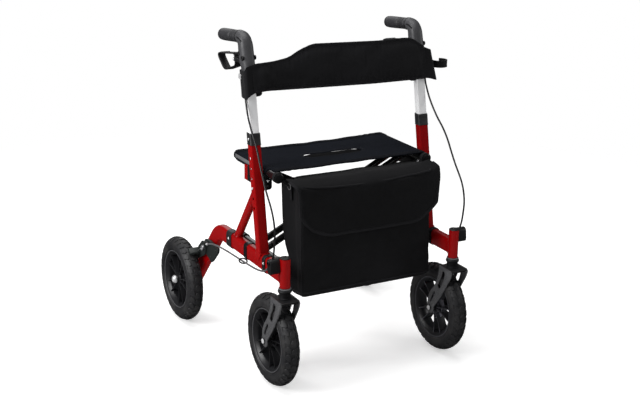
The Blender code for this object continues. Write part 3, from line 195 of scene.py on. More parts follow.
# Bag: height, y of its front and of its back, then the flap's edges by their depth below the mouth
BAG_LEFT = -0.192
BAG_RIGHT = 0.211
BAG_KEEP = 0.27
BAG_LEVELS = [
    (0.239, -0.285, -0.236),
    (0.250, -0.286, -0.2315),
    (0.336, -0.280, -0.224),
    (0.365, -0.278, -0.202),
    (0.403, -0.276, -0.188),
    (0.444, -0.2755, -0.182),
    (0.523, -0.275, -0.176),
    (0.545, -0.272, -0.176),
]
FLAP_TOP_Z = 0.549
FLAP_TURN = 0.25
FLAP_LOW = 0.403
FLAP_LEFT = [(-0.556, -0.218), (-0.530, -0.198), (-0.467, -0.195), (-0.403, -0.1945)]
FLAP_RIGHT = [
    (-0.556, 0.226), (-0.540, 0.243), (-0.515, 0.241), (-0.484, 0.236), (-0.445, 0.228), (-0.403, 0.224)
]
FLAP_HEM = [
    (-0.195, 0.466),
    (-0.180, 0.443),
    (-0.159, 0.423),
    (-0.128, 0.410),
    (-0.096, 0.403),
    (0.153, 0.403),
    (0.180, 0.412),
    (0.201, 0.427),
    (0.222, 0.447),
    (0.234, 0.470),
]


# Modelling by hand, in code


def deselect():
    if bpy.context.mode != "OBJECT":
        bpy.ops.object.mode_set(mode="OBJECT")
    bpy.ops.object.select_all(action="DESELECT")


def activate(obj):
    deselect()
    obj.select_set(True)
    bpy.context.view_layer.objects.active = obj


def edit(obj):
    """Opens an object in edit mode with all of it selected."""
    activate(obj)
    bpy.ops.object.mode_set(mode="EDIT")
    bpy.ops.mesh.select_all(action="SELECT")


def mend(obj, merge=1e-6):
    """Merges doubled points, turns every face outwards and puts the place in the mesh."""
    edit(obj)
    bpy.ops.mesh.remove_doubles(threshold=merge)
    bpy.ops.mesh.normals_make_consistent(inside=False)
    bpy.ops.object.mode_set(mode="OBJECT")
    bpy.ops.object.transform_apply(location=True, rotation=True, scale=True)
    return obj


def trace(name, points, fill=True):
    """Draws a line by extruding one point from place to place, and fills it if asked."""
    deselect()
    bpy.ops.mesh.primitive_plane_add(size=0.001, location=points[0])
    obj = bpy.context.object
    obj.name = name
    bpy.ops.object.mode_set(mode="EDIT")
    bpy.ops.mesh.select_all(action="SELECT")
    bpy.ops.mesh.merge(type="CENTER")
    for here, there in zip(points, points[1:]):
        step = Vector(there) - Vector(here)
        bpy.ops.mesh.extrude_region_move(TRANSFORM_OT_translate={"value": step})
    if fill:
        bpy.ops.mesh.select_all(action="SELECT")
        bpy.ops.mesh.edge_face_add()
    bpy.ops.object.mode_set(mode="OBJECT")
    bpy.ops.object.transform_apply(location=True, rotation=True, scale=True)
    return obj


def plate(name, outline, axis, low, high):
    """An outline of (y, z), (x, z) or (x, y) points, pushed out along X, Y or Z."""
    place = {"X": (2, 0, 1), "Y": (0, 2, 1), "Z": (0, 1, 2)}[axis]
    points = [[(a, b, low)[index] for index in place] for a, b in outline]
    obj = trace(name, points)
    edit(obj)
    push = [high - low if letter == axis else 0 for letter in "XYZ"]
    bpy.ops.mesh.extrude_region_move(TRANSFORM_OT_translate={"value": push})
    return mend(obj)


def turn(name, profile, centre=(0, 0, 0), axis=(1, 0, 0), steps=40):
    """Spins a line of (distance along the axis, radius) points right round the axis."""
    axis = Vector(axis).normalized()
    across = Vector((0, 1, 0)) if abs(axis.y) < 0.5 else Vector((0, 0, 1))
    across = (across - axis * across.dot(axis)).normalized()
    middle = Vector(centre)
    points = [middle + axis * along + across * radius for along, radius in profile]
    obj = trace(name, points, fill=False)
    edit(obj)
    bpy.ops.mesh.spin(steps=steps, angle=2 * math.pi, center=centre, axis=axis)
    return mend(obj, 1e-5)


def loft(name, rings):
    """A closed skin: one outline, extruded from ring to ring, with its points set in place."""
    count = len(rings[0])
    deselect()
    bpy.ops.mesh.primitive_circle_add(vertices=count, radius=0.01, fill_type="NGON")
    obj = bpy.context.object
    obj.name = name
    bpy.ops.object.mode_set(mode="EDIT")
    bpy.ops.mesh.select_all(action="SELECT")
    shape = bmesh.from_edit_mesh(obj.data)
    order = list(shape.verts)
    for vert, place in zip(order, rings[0]):
        vert.co = place
    for ring in rings[1:]:
        bpy.ops.mesh.extrude_region_move()
        shape = bmesh.from_edit_mesh(obj.data)
        fresh = [vert for vert in shape.verts if vert.select]
        spot = {vert.co.to_tuple(7): vert for vert in fresh}
        order = [spot[vert.co.to_tuple(7)] for vert in order]
        for vert, place in zip(order, ring):
            vert.co = place
        bmesh.update_edit_mesh(obj.data)
    return mend(obj, 1e-5)


def tube(name, points, radius, sides=12, radii=None, closed=False):
    """A round bar along a line of points, drawn as a curve and made a mesh."""
    deselect()
    bpy.ops.curve.primitive_nurbs_path_add(location=(0, 0, 0))
    obj = bpy.context.object
    obj.name = name
    curve = obj.data
    curve.splines.clear()
    spline = curve.splines.new("POLY")
    spline.points.add(len(points) - 1)
    for index, place in enumerate(points):
        spline.points[index].co = (*place, 1)
        spline.points[index].radius = radii[index] if radii else 1
    spline.use_cyclic_u = closed
    curve.bevel_depth = radius
    curve.bevel_resolution = sides // 2 - 2
    curve.use_fill_caps = not closed
    bpy.ops.object.convert(target="MESH")
    return mend(bpy.context.object)


def modify(obj, kind, **settings):
    """Adds one modifier and applies it."""
    modifier = obj.modifiers.new(kind, kind)
    for setting, value in settings.items():
        setattr(modifier, setting, value)
    activate(obj)
    bpy.ops.object.modifier_apply(modifier=modifier.name)
    return obj


def soften(obj, width, segments=2, angle=35):
    """Rounds the edges that are sharper than the angle."""
    return modify(
        obj,
        "BEVEL",
        width=width,
        segments=segments,
        limit_method="ANGLE",
        angle_limit=math.radians(angle),
        use_clamp_overlap=True,
    )


def combine(obj, operation, *others):
    """Joins the others to a piece or cuts them out of it, and removes them."""
    for other in others:
        modify(obj, "BOOLEAN", operation=operation, object=other, solver="EXACT")
        bpy.data.objects.remove(other)
    return obj


def join(obj, *others):
    """Makes one mesh of several that touch."""
    activate(obj)
    for other in others:
        other.select_set(True)
    bpy.context.view_layer.objects.active = obj
    bpy.ops.object.join()
    return obj


def copy_of(obj, name, shift=(0, 0, 0), mirrored=False):
    """A copy with its own mesh, mirrored to the other side and moved if asked."""
    other = obj.copy()
    other.data = obj.data.copy()
    bpy.context.scene.collection.objects.link(other)
    other.name = name
    other.data.name = name
    if mirrored:
        other.scale.x = -1
    other.location = shift
    return mend(other)


def put(obj, name, body, finish, replaces=(), angle=35):
    """Names a finished piece, shades it, gives it its finish and lets it ride on a body.

    A body of (first, second, start, end) only has its place put into its mesh, and one of
    (carrier, joint, axis, anchor, keep) rides on the carrier with a mesh of its own.
    """
    obj.name = name
    obj.data.name = name
    activate(obj)
    bpy.ops.object.shade_smooth_by_angle(angle=math.radians(angle))
    if not obj.data.materials:
        obj.data.materials.append(finish.material)
    if isinstance(body, str):
        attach(obj, body)
    elif len(body) == 4:
        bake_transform(obj)
    else:
        carrier, joint, axis, anchor, keep = body
        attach(obj, carrier)
        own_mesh(obj)
        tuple(axis)
        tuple(anchor)
    nodes = [replaces] if isinstance(replaces, str) else list(replaces)
    if nodes:
        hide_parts(*nodes)
    return obj


def put_both(obj, name, body, finish, replaces=(), angle=35):
    """The same for a piece of the right side and its copy on the left. {side} stands for the side."""
    nodes = [replaces] if isinstance(replaces, str) else list(replaces)
    other = copy_of(obj, name.format(side="left"), mirrored=True)
    made = {}
    for side, piece in (("right", obj), ("left", other)):
        stands_for = [node.format(side=side) for node in nodes]
        made[side] = put(
            piece, name.format(side=side), body.format(side=side), finish, stands_for, angle
        )
    return made


# Outlines and routes


def arc(middle, radius, start, end, steps):
    """Points on a circle between two angles in degrees."""
    angles = [math.radians(start + (end - start) * step / steps) for step in range(steps + 1)]
    return [
        (middle[0] + radius * math.cos(angle), middle[1] + radius * math.sin(angle))
        for angle in angles
    ]


def rounded(width, depth, radius, steps=4):
    """A rectangle round the origin with round corners."""
    u, v = width / 2 - radius, depth / 2 - radius
    points = []
    for corner, start in (((u, v), 0), ((-u, v), 90), ((-u, -v), 180), ((u, -v), 270)):
        points += arc(corner, radius, start, start + 90, steps)
    return points


def strip(points, width, steps=8):
    """The outline of a strip with round ends along a line of points."""
    line = [Vector(point) for point in points]
    half = width / 2
    sides = ([], [])
    for index, point in enumerate(line):
        before, after = line[max(index - 1, 0)], line[min(index + 1, len(line) - 1)]
        along = (after - before).normalized()
        out = Vector((-along.y, along.x)) * half
        sides[0].append(tuple(point + out))
        sides[1].append(tuple(point - out))
    (last_x, last_y), (x, y) = (line[-1] - line[-2]).normalized(), (line[0] - line[1]).normalized()
    heading, back = math.degrees(math.atan2(last_y, last_x)), math.degrees(math.atan2(y, x))
    far_end = arc(tuple(line[-1]), half, heading + 90, heading - 90, steps)[1:-1]
    near_end = arc(tuple(line[0]), half, back + 90, back - 90, steps)[1:-1]
    return sides[0] + far_end + sides[1][::-1] + near_end


def smooth_route(route, count):
    """Evenly spaced points on a smooth line through a route's points."""
    points = [Vector(point) for point in route]
    ends = [points[0] * 2 - points[1], *points, points[-1] * 2 - points[-2]]
    dense = []
    for index in range(1, len(ends) - 2):
        a, b, c, d = ends[index - 1 : index + 3]
        for step in range(12):
            t = step / 12
            dense.append(
                0.5
                * (
                    2 * b
                    + (c - a) * t
                    + (2 * a - 5 * b + 4 * c - d) * t**2
                    + (3 * b - a - 3 * c + d) * t**3
                )
            )
    dense.append(points[-1])
    lengths = [0.0]
    for here, there in zip(dense, dense[1:]):
        lengths.append(lengths[-1] + (there - here).length)
    even, spot = [], 0
    for step in range(count):
        wanted = lengths[-1] * step / (count - 1)
        while spot < len(dense) - 2 and lengths[spot + 1] < wanted:
            spot += 1
        share = (wanted - lengths[spot]) / max(lengths[spot + 1] - lengths[spot], 1e-9)
        even.append(dense[spot].lerp(dense[spot + 1], min(share, 1)))
    return even


def along_line(line, position):
    """The height at a position on a line of (position, height) points."""
    for (x0, h0), (x1, h1) in zip(line, line[1:]):
        if position <= x1:
            return h0 + (h1 - h0) * max((position - x0) / (x1 - x0), 0)
    return line[-1][1]


def column_y(z):
    """Where the leaning column's axis is at a height."""
    return COLUMN_Y + COLUMN_LEAN * (z - COLUMN_Z)


def column_rings(x, size, heights, steps=4):
    """Level cuts of a tube that leans with the column."""
    return [
        [(x + u, column_y(z) + v, z) for u, v in rounded(*size, steps)] for z in heights
    ]


def side_rings(x, path, sections):
    """Sections square to a path in a side plane. Their first measure lies along X."""
    rings = []
    for index, section in enumerate(sections):
        before = Vector(path[max(index - 1, 0)])
        after = Vector(path[min(index + 1, len(path) - 1)])
        along = (after - before).normalized()
        out = Vector((-along.y, along.x))
        y, z = path[index]
        rings.append([(x + u, y + v * out.x, z + v * out.y) for u, v in section])
    return rings


# Finishes


class Amount:
    """A number that changes over a surface: a socket with Python's arithmetic."""

    def __init__(self, tree, socket):
        self.tree = tree
        self.socket = socket

    def maths(self, operation, first, second=None, clamp=False):
        node = self.tree.nodes.new("ShaderNodeMath")
        node.operation = operation
        node.use_clamp = clamp
        for index, value in enumerate((first, second)):
            if isinstance(value, Amount):
                self.tree.links.new(value.socket, node.inputs[index])
            elif value is not None:
                node.inputs[index].default_value = value
        return Amount(self.tree, node.outputs[0])

    def __add__(self, other):
        return self.maths("ADD", self, other)

    __radd__ = __add__

    def __mul__(self, other):
        return self.maths("MULTIPLY", self, other)

    __rmul__ = __mul__

    def __sub__(self, other):
        return self.maths("SUBTRACT", self, other)

    def __rsub__(self, other):
        return self.maths("SUBTRACT", other, self)

    def __pow__(self, power):
        return self.maths("POWER", self, power)

    def __abs__(self):
        return self.maths("ABSOLUTE", self)

    def wave(self):
        return self.maths("SINE", self)

    def between(self, low, high):
        """0 below low, 1 above high, and a straight line between."""
        return self.maths("MULTIPLY", self - low, 1 / (high - low), clamp=True)


class Finish:
    """One material: a Principled shader, and the nodes that vary it over a surface."""

    def __init__(self, name, slot, **constants):
        self.slot = slot
        self.material = bpy.data.materials.new(name)
        self.material.use_nodes = True
        self.tree = self.material.node_tree
        self.shader = self.tree.nodes["Principled BSDF"]
        for setting, value in constants.items():
            self.shader.inputs[setting.replace("_", " ")].default_value = value

    def node(self, kind, inputs=None, **settings):
        """A node with its settings, then the values or links of its sockets."""
        node = self.tree.nodes.new(kind)
        for setting, value in settings.items():
            setattr(node, setting, value)
        for socket, value in (inputs or {}).items():
            if isinstance(value, Amount):
                self.tree.links.new(value.socket, node.inputs[socket])
            elif isinstance(value, bpy.types.NodeSocket):
                self.tree.links.new(value, node.inputs[socket])
            else:
                node.inputs[socket].default_value = value
        return node

    def place(self, stretch=(1, 1, 1)):
        """Where a point is on the piece, stretched along each axis."""
        where = self.node("ShaderNodeTexCoord").outputs["Object"]
        return self.node("ShaderNodeMapping", {"Vector": where, "Scale": stretch}).outputs["Vector"]

    def axes(self):
        """Where a point is on the piece, as three numbers."""
        parts = self.node("ShaderNodeSeparateXYZ", {"Vector": self.place()})
        return [Amount(self.tree, parts.outputs[axis]) for axis in "XYZ"]

    def cloud(self, scale, detail=3, rough=0.5, stretch=(1, 1, 1)):
        """Soft noise, from 0 to 1."""
        inputs = {"Vector": self.place(stretch), "Scale": scale}
        inputs |= {"Detail": detail, "Roughness": rough}
        return Amount(self.tree, self.node("ShaderNodeTexNoise", inputs).outputs[0])

    def grains(self, scale):
        """How far a point is from the nearest of many scattered spots."""
        inputs = {"Vector": self.place(), "Scale": scale}
        return Amount(self.tree, self.node("ShaderNodeTexVoronoi", inputs).outputs[0])

    def edges(self, low=0.53, high=0.62):
        """1 along outer edges, where a finish wears first, and where the rims carry a painted highlight."""
        point = self.node("ShaderNodeNewGeometry").outputs["Pointiness"]
        return Amount(self.tree, point).between(low, high)

    def blend(self, share, low, high):
        """A colour between two, by a share from 0 to 1."""
        mix = self.node("ShaderNodeMix", data_type="RGBA")
        self.tree.links.new(share.socket, mix.inputs["Factor"])
        for index, colour in ((6, low), (7, high)):
            if isinstance(colour, bpy.types.NodeSocket):
                self.tree.links.new(colour, mix.inputs[index])
            else:
                mix.inputs[index].default_value = (*colour, 1)
        return mix.outputs[2]

    def colour(self, socket):
        self.tree.links.new(socket, self.shader.inputs["Base Color"])

    def set(self, socket, amount):
        self.tree.links.new(amount.socket, self.shader.inputs[socket])

    def relief(self, height, depth):
        """Raises the surface by a height from 0 to 1 times a depth in metres."""
        bump = self.node("ShaderNodeBump", {"Height": height, "Distance": depth, "Strength": 1.0})
        self.tree.links.new(bump.outputs[0], self.shader.inputs["Normal"])


def shade(colour, by):
    return tuple(min(part * by, 1) for part in colour[:3])


WORN_METAL = (0.25, 0.24, 0.23)
PLASTIC_GRAIN = 1500
DRAWN_DEPTH = 0.000004


def paint(name, slot, colour, rough, peel=0.00002, coat=0.0, shine=0.5):
    """Sprayed or powder-coated metal: a little orange peel, dust in the sheen, worn edges."""
    finish = Finish(name, slot, Coat_Weight=coat, Coat_Roughness=0.04, IOR=1.45, Specular_IOR_Level=shine)
    dust = finish.cloud(9, 4, 0.6)
    worn = (finish.edges(0.56, 0.72) * finish.cloud(160, 4, 0.7).between(0.56, 0.66)) * 0.3
    body = finish.blend(dust, shade(colour, 0.88), shade(colour, 1.12))
    finish.colour(finish.blend(worn, body, WORN_METAL))
    finish.set("Roughness", dust * 0.10 + rough + finish.cloud(70, 2) * 0.05)
    finish.relief(finish.cloud(650, 2), peel)
    return finish


def plastic(name, slot, colour, rough, grain=0.00003, edge=2.2):
    """Moulded plastic with a fine grain, polished and lighter along its edges: rubbed wear, and a painted
    highlight where the edge factor is large, as on the rims.
    """
    finish = Finish(name, slot, IOR=1.46)
    patch = finish.cloud(14, 4, 0.6)
    rubbed_and_highlit_edges = finish.edges() * 0.35
    body = finish.blend(patch, shade(colour, 0.8), shade(colour, 1.25))
    # Edges lighter by the edge factor: rubbed wear, and on the rims a painted highlight.
    finish.colour(finish.blend(rubbed_and_highlit_edges, body, shade(colour, edge)))
    finish.set("Roughness", patch * 0.14 + rough - rubbed_and_highlit_edges * 0.2)
    finish.relief(finish.grains(PLASTIC_GRAIN) * 0.6 + finish.cloud(PLASTIC_GRAIN * 0.5, 2) * 0.4, grain)
    return finish


def rubber(name, slot, colour, rough, dusty=0.3):
    """Black rubber with a mat skin, fine mould marks and some dust."""
    finish = Finish(name, slot, IOR=1.5)
    dust = finish.cloud(22, 5, 0.65).between(0.45, 0.75) * dusty
    patch = finish.cloud(5, 3)
    body = finish.blend(patch, shade(colour, 0.75), shade(colour, 1.3))
    finish.colour(finish.blend(dust, body, (0.075, 0.07, 0.063)))
    finish.set("Roughness", dust * 0.4 + rough + patch * 0.1)
    finish.relief(finish.cloud(900, 3, 0.6) * 0.7 + finish.cloud(180, 2) * 0.3, 0.00006)
    return finish


def bare_metal(name, slot, colour, rough, lines, metallic=1.0):
    """Bare or anodised metal with drawing lines across the given stretch."""
    finish = Finish(name, slot, Metallic=metallic)
    drawn = finish.cloud(900, 3, 0.6, stretch=lines)
    smear = finish.cloud(12, 4, 0.6)
    finish.colour(finish.blend(smear, shade(colour, 0.9), shade(colour, 1.06)))
    finish.set("Roughness", smear * 0.14 + rough + drawn * 0.08)
    finish.relief(drawn, DRAWN_DEPTH)
    return finish


def weave(name, slot, colour, pitch, depth, axes_used=(0, 2), bands=None, sheen=0.1, shine=0.4):
    """Cloth of warp and weft threads along two axes, with its threads' own small differences."""
    finish = Finish(name, slot, Sheen_Weight=sheen, Sheen_Roughness=0.4, IOR=1.3, Specular_IOR_Level=shine)
    parts = finish.axes()
    turns = math.pi / pitch
    across, along = (parts[index] * turns for index in axes_used)
    warp, weft = across.wave(), along.wave()
    over = (warp * weft).between(-0.6, 0.6)
    threads = abs(warp) * over + abs(weft) * (1 - over)
    slub = finish.cloud(0.3 / pitch, 3, 0.6, stretch=(0.25, 1, 1))
    fade = finish.cloud(6, 5, 0.62)
    body = finish.blend(threads * 0.5 + slub * 0.5, shade(colour, 0.62), shade(colour, 1.25))
    light = finish.blend(fade.between(0.3, 0.75), (0.75, 0.75, 0.75), (1.2, 1.2, 1.2))
    tinted = finish.node("ShaderNodeMix", data_type="RGBA", blend_type="MULTIPLY")
    tinted.inputs["Factor"].default_value = 1
    finish.tree.links.new(body, tinted.inputs[6])
    finish.tree.links.new(light, tinted.inputs[7])
    shown = tinted.outputs[2]
    height = threads * 0.8 + slub * 0.2
    if bands:
        axis, spacing, lift = bands
        line = abs((parts[axis] * (math.pi / spacing)).wave()).between(0.0, 0.16)
        shown = finish.blend(1 - line, shown, shade(colour, lift))
        height = height * 0.5 + line * 0.5
    finish.colour(shown)
    finish.set("Roughness", 0.92 - threads * 0.12 + fade * 0.06)
    finish.relief(height, depth)
    return finish


FINISH = {}


def make_finishes(settings):
    """Every finish of the walker, by its plain name."""
    red, black = tuple(settings.frame_red), tuple(settings.deep_black)
    grey, seat = tuple(settings.plastic_grey), tuple(settings.seat_navy)
    FINISH.update(
        red=paint("frame_red_enamel", "red_paint", red, 0.26, coat=0.22, shine=0.12),
        black_paint=paint("black_powder_coat", "black_paint", black, 0.42, 0.00004),
        black=plastic("black_moulding", "black_plastic", black, 0.42),
        gloss_black=plastic("smooth_black_moulding", "black_plastic", shade(black, 0.8), 0.28, 0.00001),
        # The rims' edges are lightened forty times: a painted highlight on the spoke edges and the rim's
        # edges.
        rim=plastic("rim_moulding_black", "black_plastic", shade(black, 1.5), 0.3, 0.00001, edge=40),
        # The rim lip's grey is a painted highlight: a light ring along the rim's outer edge.
        lip=plastic("rim_lip_painted_highlight_grey", "black_plastic", (0.075, 0.075, 0.080), 0.34, 0.00001),
        handle=plastic("handle_moulding_grey", "grey_plastic", grey, 0.38, 0.00005),
        tyre=rubber("tyre_rubber", "tyre", shade(black, 1.9), 0.46, 0.3),
        grip=rubber("grip_rubber", "grip_rubber", shade(black, 3.4), 0.46, 0.12),
        black_gloss=paint("black_gloss_enamel", "black_paint", shade(black, 0.8), 0.2, 0.00001, coat=0.4),
        bracket=paint("dark_plated_bracket", "black_paint", (0.016, 0.020, 0.019), 0.36, 0.00003),
        cast=paint("grey_cast_metal", "grey_metal", (0.12, 0.12, 0.125), 0.42, 0.00006),
        silver=bare_metal(
            "satin_anodised_tube", "silver", (0.96, 0.96, 0.98), 0.34, (1, 1, 0.02), metallic=0.0
        ),
        collar=plastic("dark_collar_moulding", "grey_plastic", shade(grey, 0.26), 0.42),
        steel=bare_metal("zinc_plated_steel", "silver", (0.84, 0.84, 0.85), 0.22, (1, 1, 1), metallic=0.55),
        wire=bare_metal("drawn_wire", "silver", (0.58, 0.58, 0.6), 0.32, (1, 1, 1)),
        seat=weave(
            "seat_twill", "seat_cloth", seat, 0.0011, 0.00022, (0, 1), bands=(1, 0.0135, 1.5), sheen=0.0,
            shine=0.05
        ),
        seat_hem=weave(
            "seat_hem_twill", "seat_cloth", shade(seat, 0.6), 0.0011, 0.0002, (0, 1), sheen=0.0, shine=0.1
        ),
        sleeve=weave(
            "grey_sleeve_webbing", "seat_cloth", (0.11, 0.11, 0.115), 0.0016, 0.0003, (0, 1), sheen=0.08
        ),
        band=weave("back_band_cloth", "black_cloth", shade(black, 1.3), 0.0009, 0.00012, (0, 2), sheen=0.06),
        band_end=weave(
            "band_end_cloth", "black_cloth", shade(black, 1.2), 0.0009, 0.00012, (1, 2), sheen=0.05
        ),
        bag=weave("bag_oxford_cloth", "black_cloth", black, 0.0012, 0.0002, (0, 2), sheen=0.03),
        webbing=weave(
            "black_webbing", "black_cloth", shade(black, 0.6), 0.0018, 0.0004, (0, 1), sheen=0.0, shine=0.1
        ),
        webbing_loop=weave(
            "loop_webbing", "black_cloth", shade(black, 1.1), 0.0014, 0.0003, (1, 2), sheen=0.05
        ),
        tape=weave(
            "black_binding_tape", "black_cloth", shade(black, 1.7), 0.0010, 0.0002, (0, 2), sheen=0.05
        ),
        thread=weave("sewing_thread", "black_cloth", shade(black, 3.2), 0.0004, 0.00008, (0, 1), sheen=0.05),
    )
    sheath = Finish("cable_sheath", "black_plastic", IOR=1.46, Roughness=0.34)
    # The cable is painted lighter grey along its low run by the rail: a painted highlight.
    low = sheath.axes()[2].between(0.36, 0.325)
    sheath.colour(sheath.blend(low * 0.8 + sheath.cloud(40, 3) * 0.1, shade(black, 0.9), (0.11, 0.11, 0.115)))
    sheath.relief(sheath.cloud(900, 2), 0.00001)
    FINISH["cable"] = sheath
    speckled = Finish("fork_hammered_grey", "grey_metal", IOR=1.5, Coat_Weight=0.15, Coat_Roughness=0.3)
    fleck = speckled.grains(1100).between(0.25, 0.55)
    patch = speckled.cloud(30, 4, 0.6)
    coat = speckled.blend(fleck, (0.105, 0.105, 0.11), (0.045, 0.045, 0.048))
    speckled.colour(speckled.blend(patch.between(0.55, 0.8) * 0.4, coat, (0.15, 0.15, 0.155)))
    speckled.set("Roughness", patch * 0.15 + 0.38 + fleck * 0.1)
    speckled.relief(fleck * 0.6 + speckled.cloud(420, 2) * 0.4, 0.00012)
    FINISH["fork"] = speckled


# Stage


def make_stage(settings):
    """A pale floor that fades into white air, soft lights, and the camera of the photograph."""
    deselect()
    bpy.ops.mesh.primitive_circle_add(vertices=64, radius=FLOOR_END, fill_type="NGON", location=(0, 0, 0))
    floor = bpy.context.object
    floor.name = "studio_floor"
    paper = Finish("studio_paper", "", Roughness=0.9, Specular_IOR_Level=0.1)
    paper.colour(paper.blend(paper.cloud(3, 3), (0.90, 0.90, 0.90), (0.93, 0.93, 0.93)))
    x, y, _ = paper.axes()
    paper.set("Alpha", 1 - ((x * x + y * y) ** 0.5).between(FLOOR_FADE, FLOOR_END))
    paper.shader.inputs["Emission Color"].default_value = (1, 1, 1, 1)
    paper.shader.inputs["Emission Strength"].default_value = settings.paper_glow
    floor.data.materials.append(paper.material)
    floor.visible_glossy = False

    azimuth, elevation, roll = (math.radians(angle) for angle in (-28.873, 17.714, 1.083))
    flat = math.cos(elevation)
    back = Vector((math.sin(azimuth) * flat, -math.cos(azimuth) * flat, math.sin(elevation)))
    right = Vector((math.cos(azimuth), math.sin(azimuth), 0))
    up = back.cross(right)
    tilted_right = right * math.cos(roll) + up * math.sin(roll)
    tilted_up = up * math.cos(roll) - right * math.sin(roll)
    deselect()
    bpy.ops.object.camera_add(location=(-1.6042, -2.9361, 1.4745))
    camera = bpy.context.object
    camera.name = "photo_camera"
    turned = Matrix((tilted_right, tilted_up, back)).transposed().to_4x4()
    camera.matrix_world = Matrix.Translation((-1.6042, -2.9361, 1.4745)) @ turned
    camera.data.sensor_fit = "HORIZONTAL"
    camera.data.sensor_width = 36
    camera.data.lens = 1219.4 / 640 * 36
    camera.data.clip_end = 60
    bpy.context.scene.camera = camera

    lights = (
        ("left_window", (-3.0, 0.0, 1.7), (0, 0, 0.45), 1.7, 79),
        ("right_strip", (2.4, -1.2, 1.4), (0, 0, 0.5), 0.4, 9),
        ("top_panel", (-0.4, 0.3, 3.2), (0, 0, 0.3), 2.6, 62),
        ("back_panel", (0.8, 3.6, 2.2), (0, 0, 0.5), 2.4, 26),
        ("front_fill", (0.6, -3.6, 2.4), (0, 0, 0.4), 1.2, 5),
    )
    for name, place, aim, size, power in lights:
        deselect()
        bpy.ops.object.light_add(type="AREA", location=place)
        light = bpy.context.object
        light.name = name
        light.data.size = size
        light.data.energy = power * settings.light_level
        direction = Vector(aim) - Vector(place)
        light.rotation_euler = direction.to_track_quat("-Z", "Y").to_euler()

    world = bpy.data.worlds.new("studio_air")
    world.use_nodes = True
    tree = world.node_tree
    glow = tree.nodes["Background"]
    glow.inputs["Color"].default_value = (1, 1, 1, 1)
    rays = tree.nodes.new("ShaderNodeLightPath")
    seen = Amount(tree, rays.outputs["Is Camera Ray"])
    mirrored = Amount(tree, rays.outputs["Is Glossy Ray"])
    air = settings.air_level * (1 - mirrored * 0.8)
    strength = seen * (1 - air) + air
    tree.links.new(strength.socket, glow.inputs["Strength"])
    bpy.context.scene.world = world
    bpy.context.scene.view_settings.view_transform = "Standard"


# Small fittings


SOCKET_SHARE = 0.48


def screw(name, foot, axis, radius, height):
    """A domed head standing on a face, with a six-sided socket in its end."""
    profile = [(0, 0), (0, radius * 0.95), (height * 0.12, radius), (height * 0.5, radius)]
    profile += [(height * 0.85, radius * 0.87), (height, radius * 0.62), (height, 0)]
    head = turn(name, profile, foot, axis, 24)
    floor, mouth = height * 0.45, height * 1.3
    profile = [(floor, 0), (floor, radius * SOCKET_SHARE), (mouth, radius * SOCKET_SHARE), (mouth, 0)]
    return combine(head, "DIFFERENCE", turn("socket", profile, foot, axis, 6))


def rivet(name, foot, axis, radius, height):
    """A pressed dome with a small flat on top."""
    profile = [(0, 0), (0, radius)]
    for step in range(1, 6):
        angle = math.pi / 2 * step / 6
        profile.append((height * math.sin(angle), radius * (0.25 + 0.75 * math.cos(angle))))
    profile += [(height, radius * 0.25), (height, 0)]
    return turn(name, profile, foot, axis, 20)


def hex_nut(name, foot, axis, radius, height, bolt_radius):
    """A six-sided nut with its corners turned off, and the bolt's end standing out of it."""
    profile = [(0, 0), (0, radius), (height, radius), (height, 0)]
    nut = turn(name, profile, foot, axis, 6)
    profile = [(-height, 0), (-height, radius * 1.4), (height * 0.75, radius * 1.02)]
    profile += [(height, radius * 0.88), (height, 0)]
    combine(nut, "INTERSECT", turn("chamfer", profile, foot, axis, 36))
    end = height * 1.35
    profile = [(0, 0), (0, bolt_radius), (end - 0.0006, bolt_radius), (end, bolt_radius * 0.8), (end, 0)]
    return join(nut, turn("bolt_end", profile, foot, axis, 20))


def weld(name, path, radius, closed=False):
    """A laid bead with its small overlapping scales."""
    count = len(path)
    radii = [1 + 0.16 * math.sin(index * 2.1) for index in range(count)]
    return tube(name, path, radius, 10, radii, closed)


def even_points(path, spacing, closed=False):
    """Points at an even spacing along straight runs."""
    line = [Vector(point) for point in path] + ([Vector(path[0])] if closed else [])
    points = []
    for here, there in zip(line, line[1:]):
        steps = max(int((there - here).length / spacing), 1)
        points += [here.lerp(there, step / steps) for step in range(steps)]
    return points if closed else points + [line[-1]]


def cut_ring(middle, along, point_on_plane, normal, radius):
    """Where a round bar meets a flat face."""
    along, normal = Vector(along).normalized(), Vector(normal)
    sideways = Vector((1, 0, 0))
    steps = 36
    ring = []
    for step in range(steps):
        angle = 2 * math.pi * step / steps
        across = sideways * math.cos(angle) + along.cross(sideways) * math.sin(angle)
        point = Vector(middle) + across * radius
        reach = (Vector(point_on_plane) - point).dot(normal) / along.dot(normal)
        ring.append(point + along * reach)
    return ring


# Wheels


def on_wheels(model, piece, finish, replaces="", ends=("front", "rear"), angle=35):
    """Copies a piece made round the origin, its outer side towards +X, to both sides' wheels."""
    for end in ends:
        x, y, z = {"front": FRONT_WHEEL, "rear": REAR_WHEEL}[end]
        for side, sign in SIDES.items():
            name = f"{side}_{end}_{piece}"
            made = copy_of(model, name, (sign * x, y, z), mirrored=sign < 0)
            stands_for = f"{side}_{end}_{replaces}" if replaces else ()
            put(made, name, f"{side}_{end}_wheel", finish, stands_for, angle)
    bpy.data.objects.remove(model)


def tyre_casing():
    """The tyre's section turned round: a flat crown, round walls with fine ridges, and beads."""
    profile = []
    for spread in range(-132, 133, 4):
        crown = min(max((abs(spread) - 58) / 8, 0), 1)
        radius = SECTION_RADIUS - TREAD_DEPTH + (TREAD_DEPTH - 0.0004) * crown
        radius += {84: 0.0006, 112: 0.0010, 116: 0.0015, 120: 0.0008}.get(abs(spread), 0)
        angle = math.radians(spread)
        profile.append((radius * math.sin(angle), SECTION_MIDDLE + radius * math.cos(angle)))
    profile += [(0.0160, 0.0846), (-0.0160, 0.0846), profile[0]]
    return turn("tyre_casing", profile, steps=84)


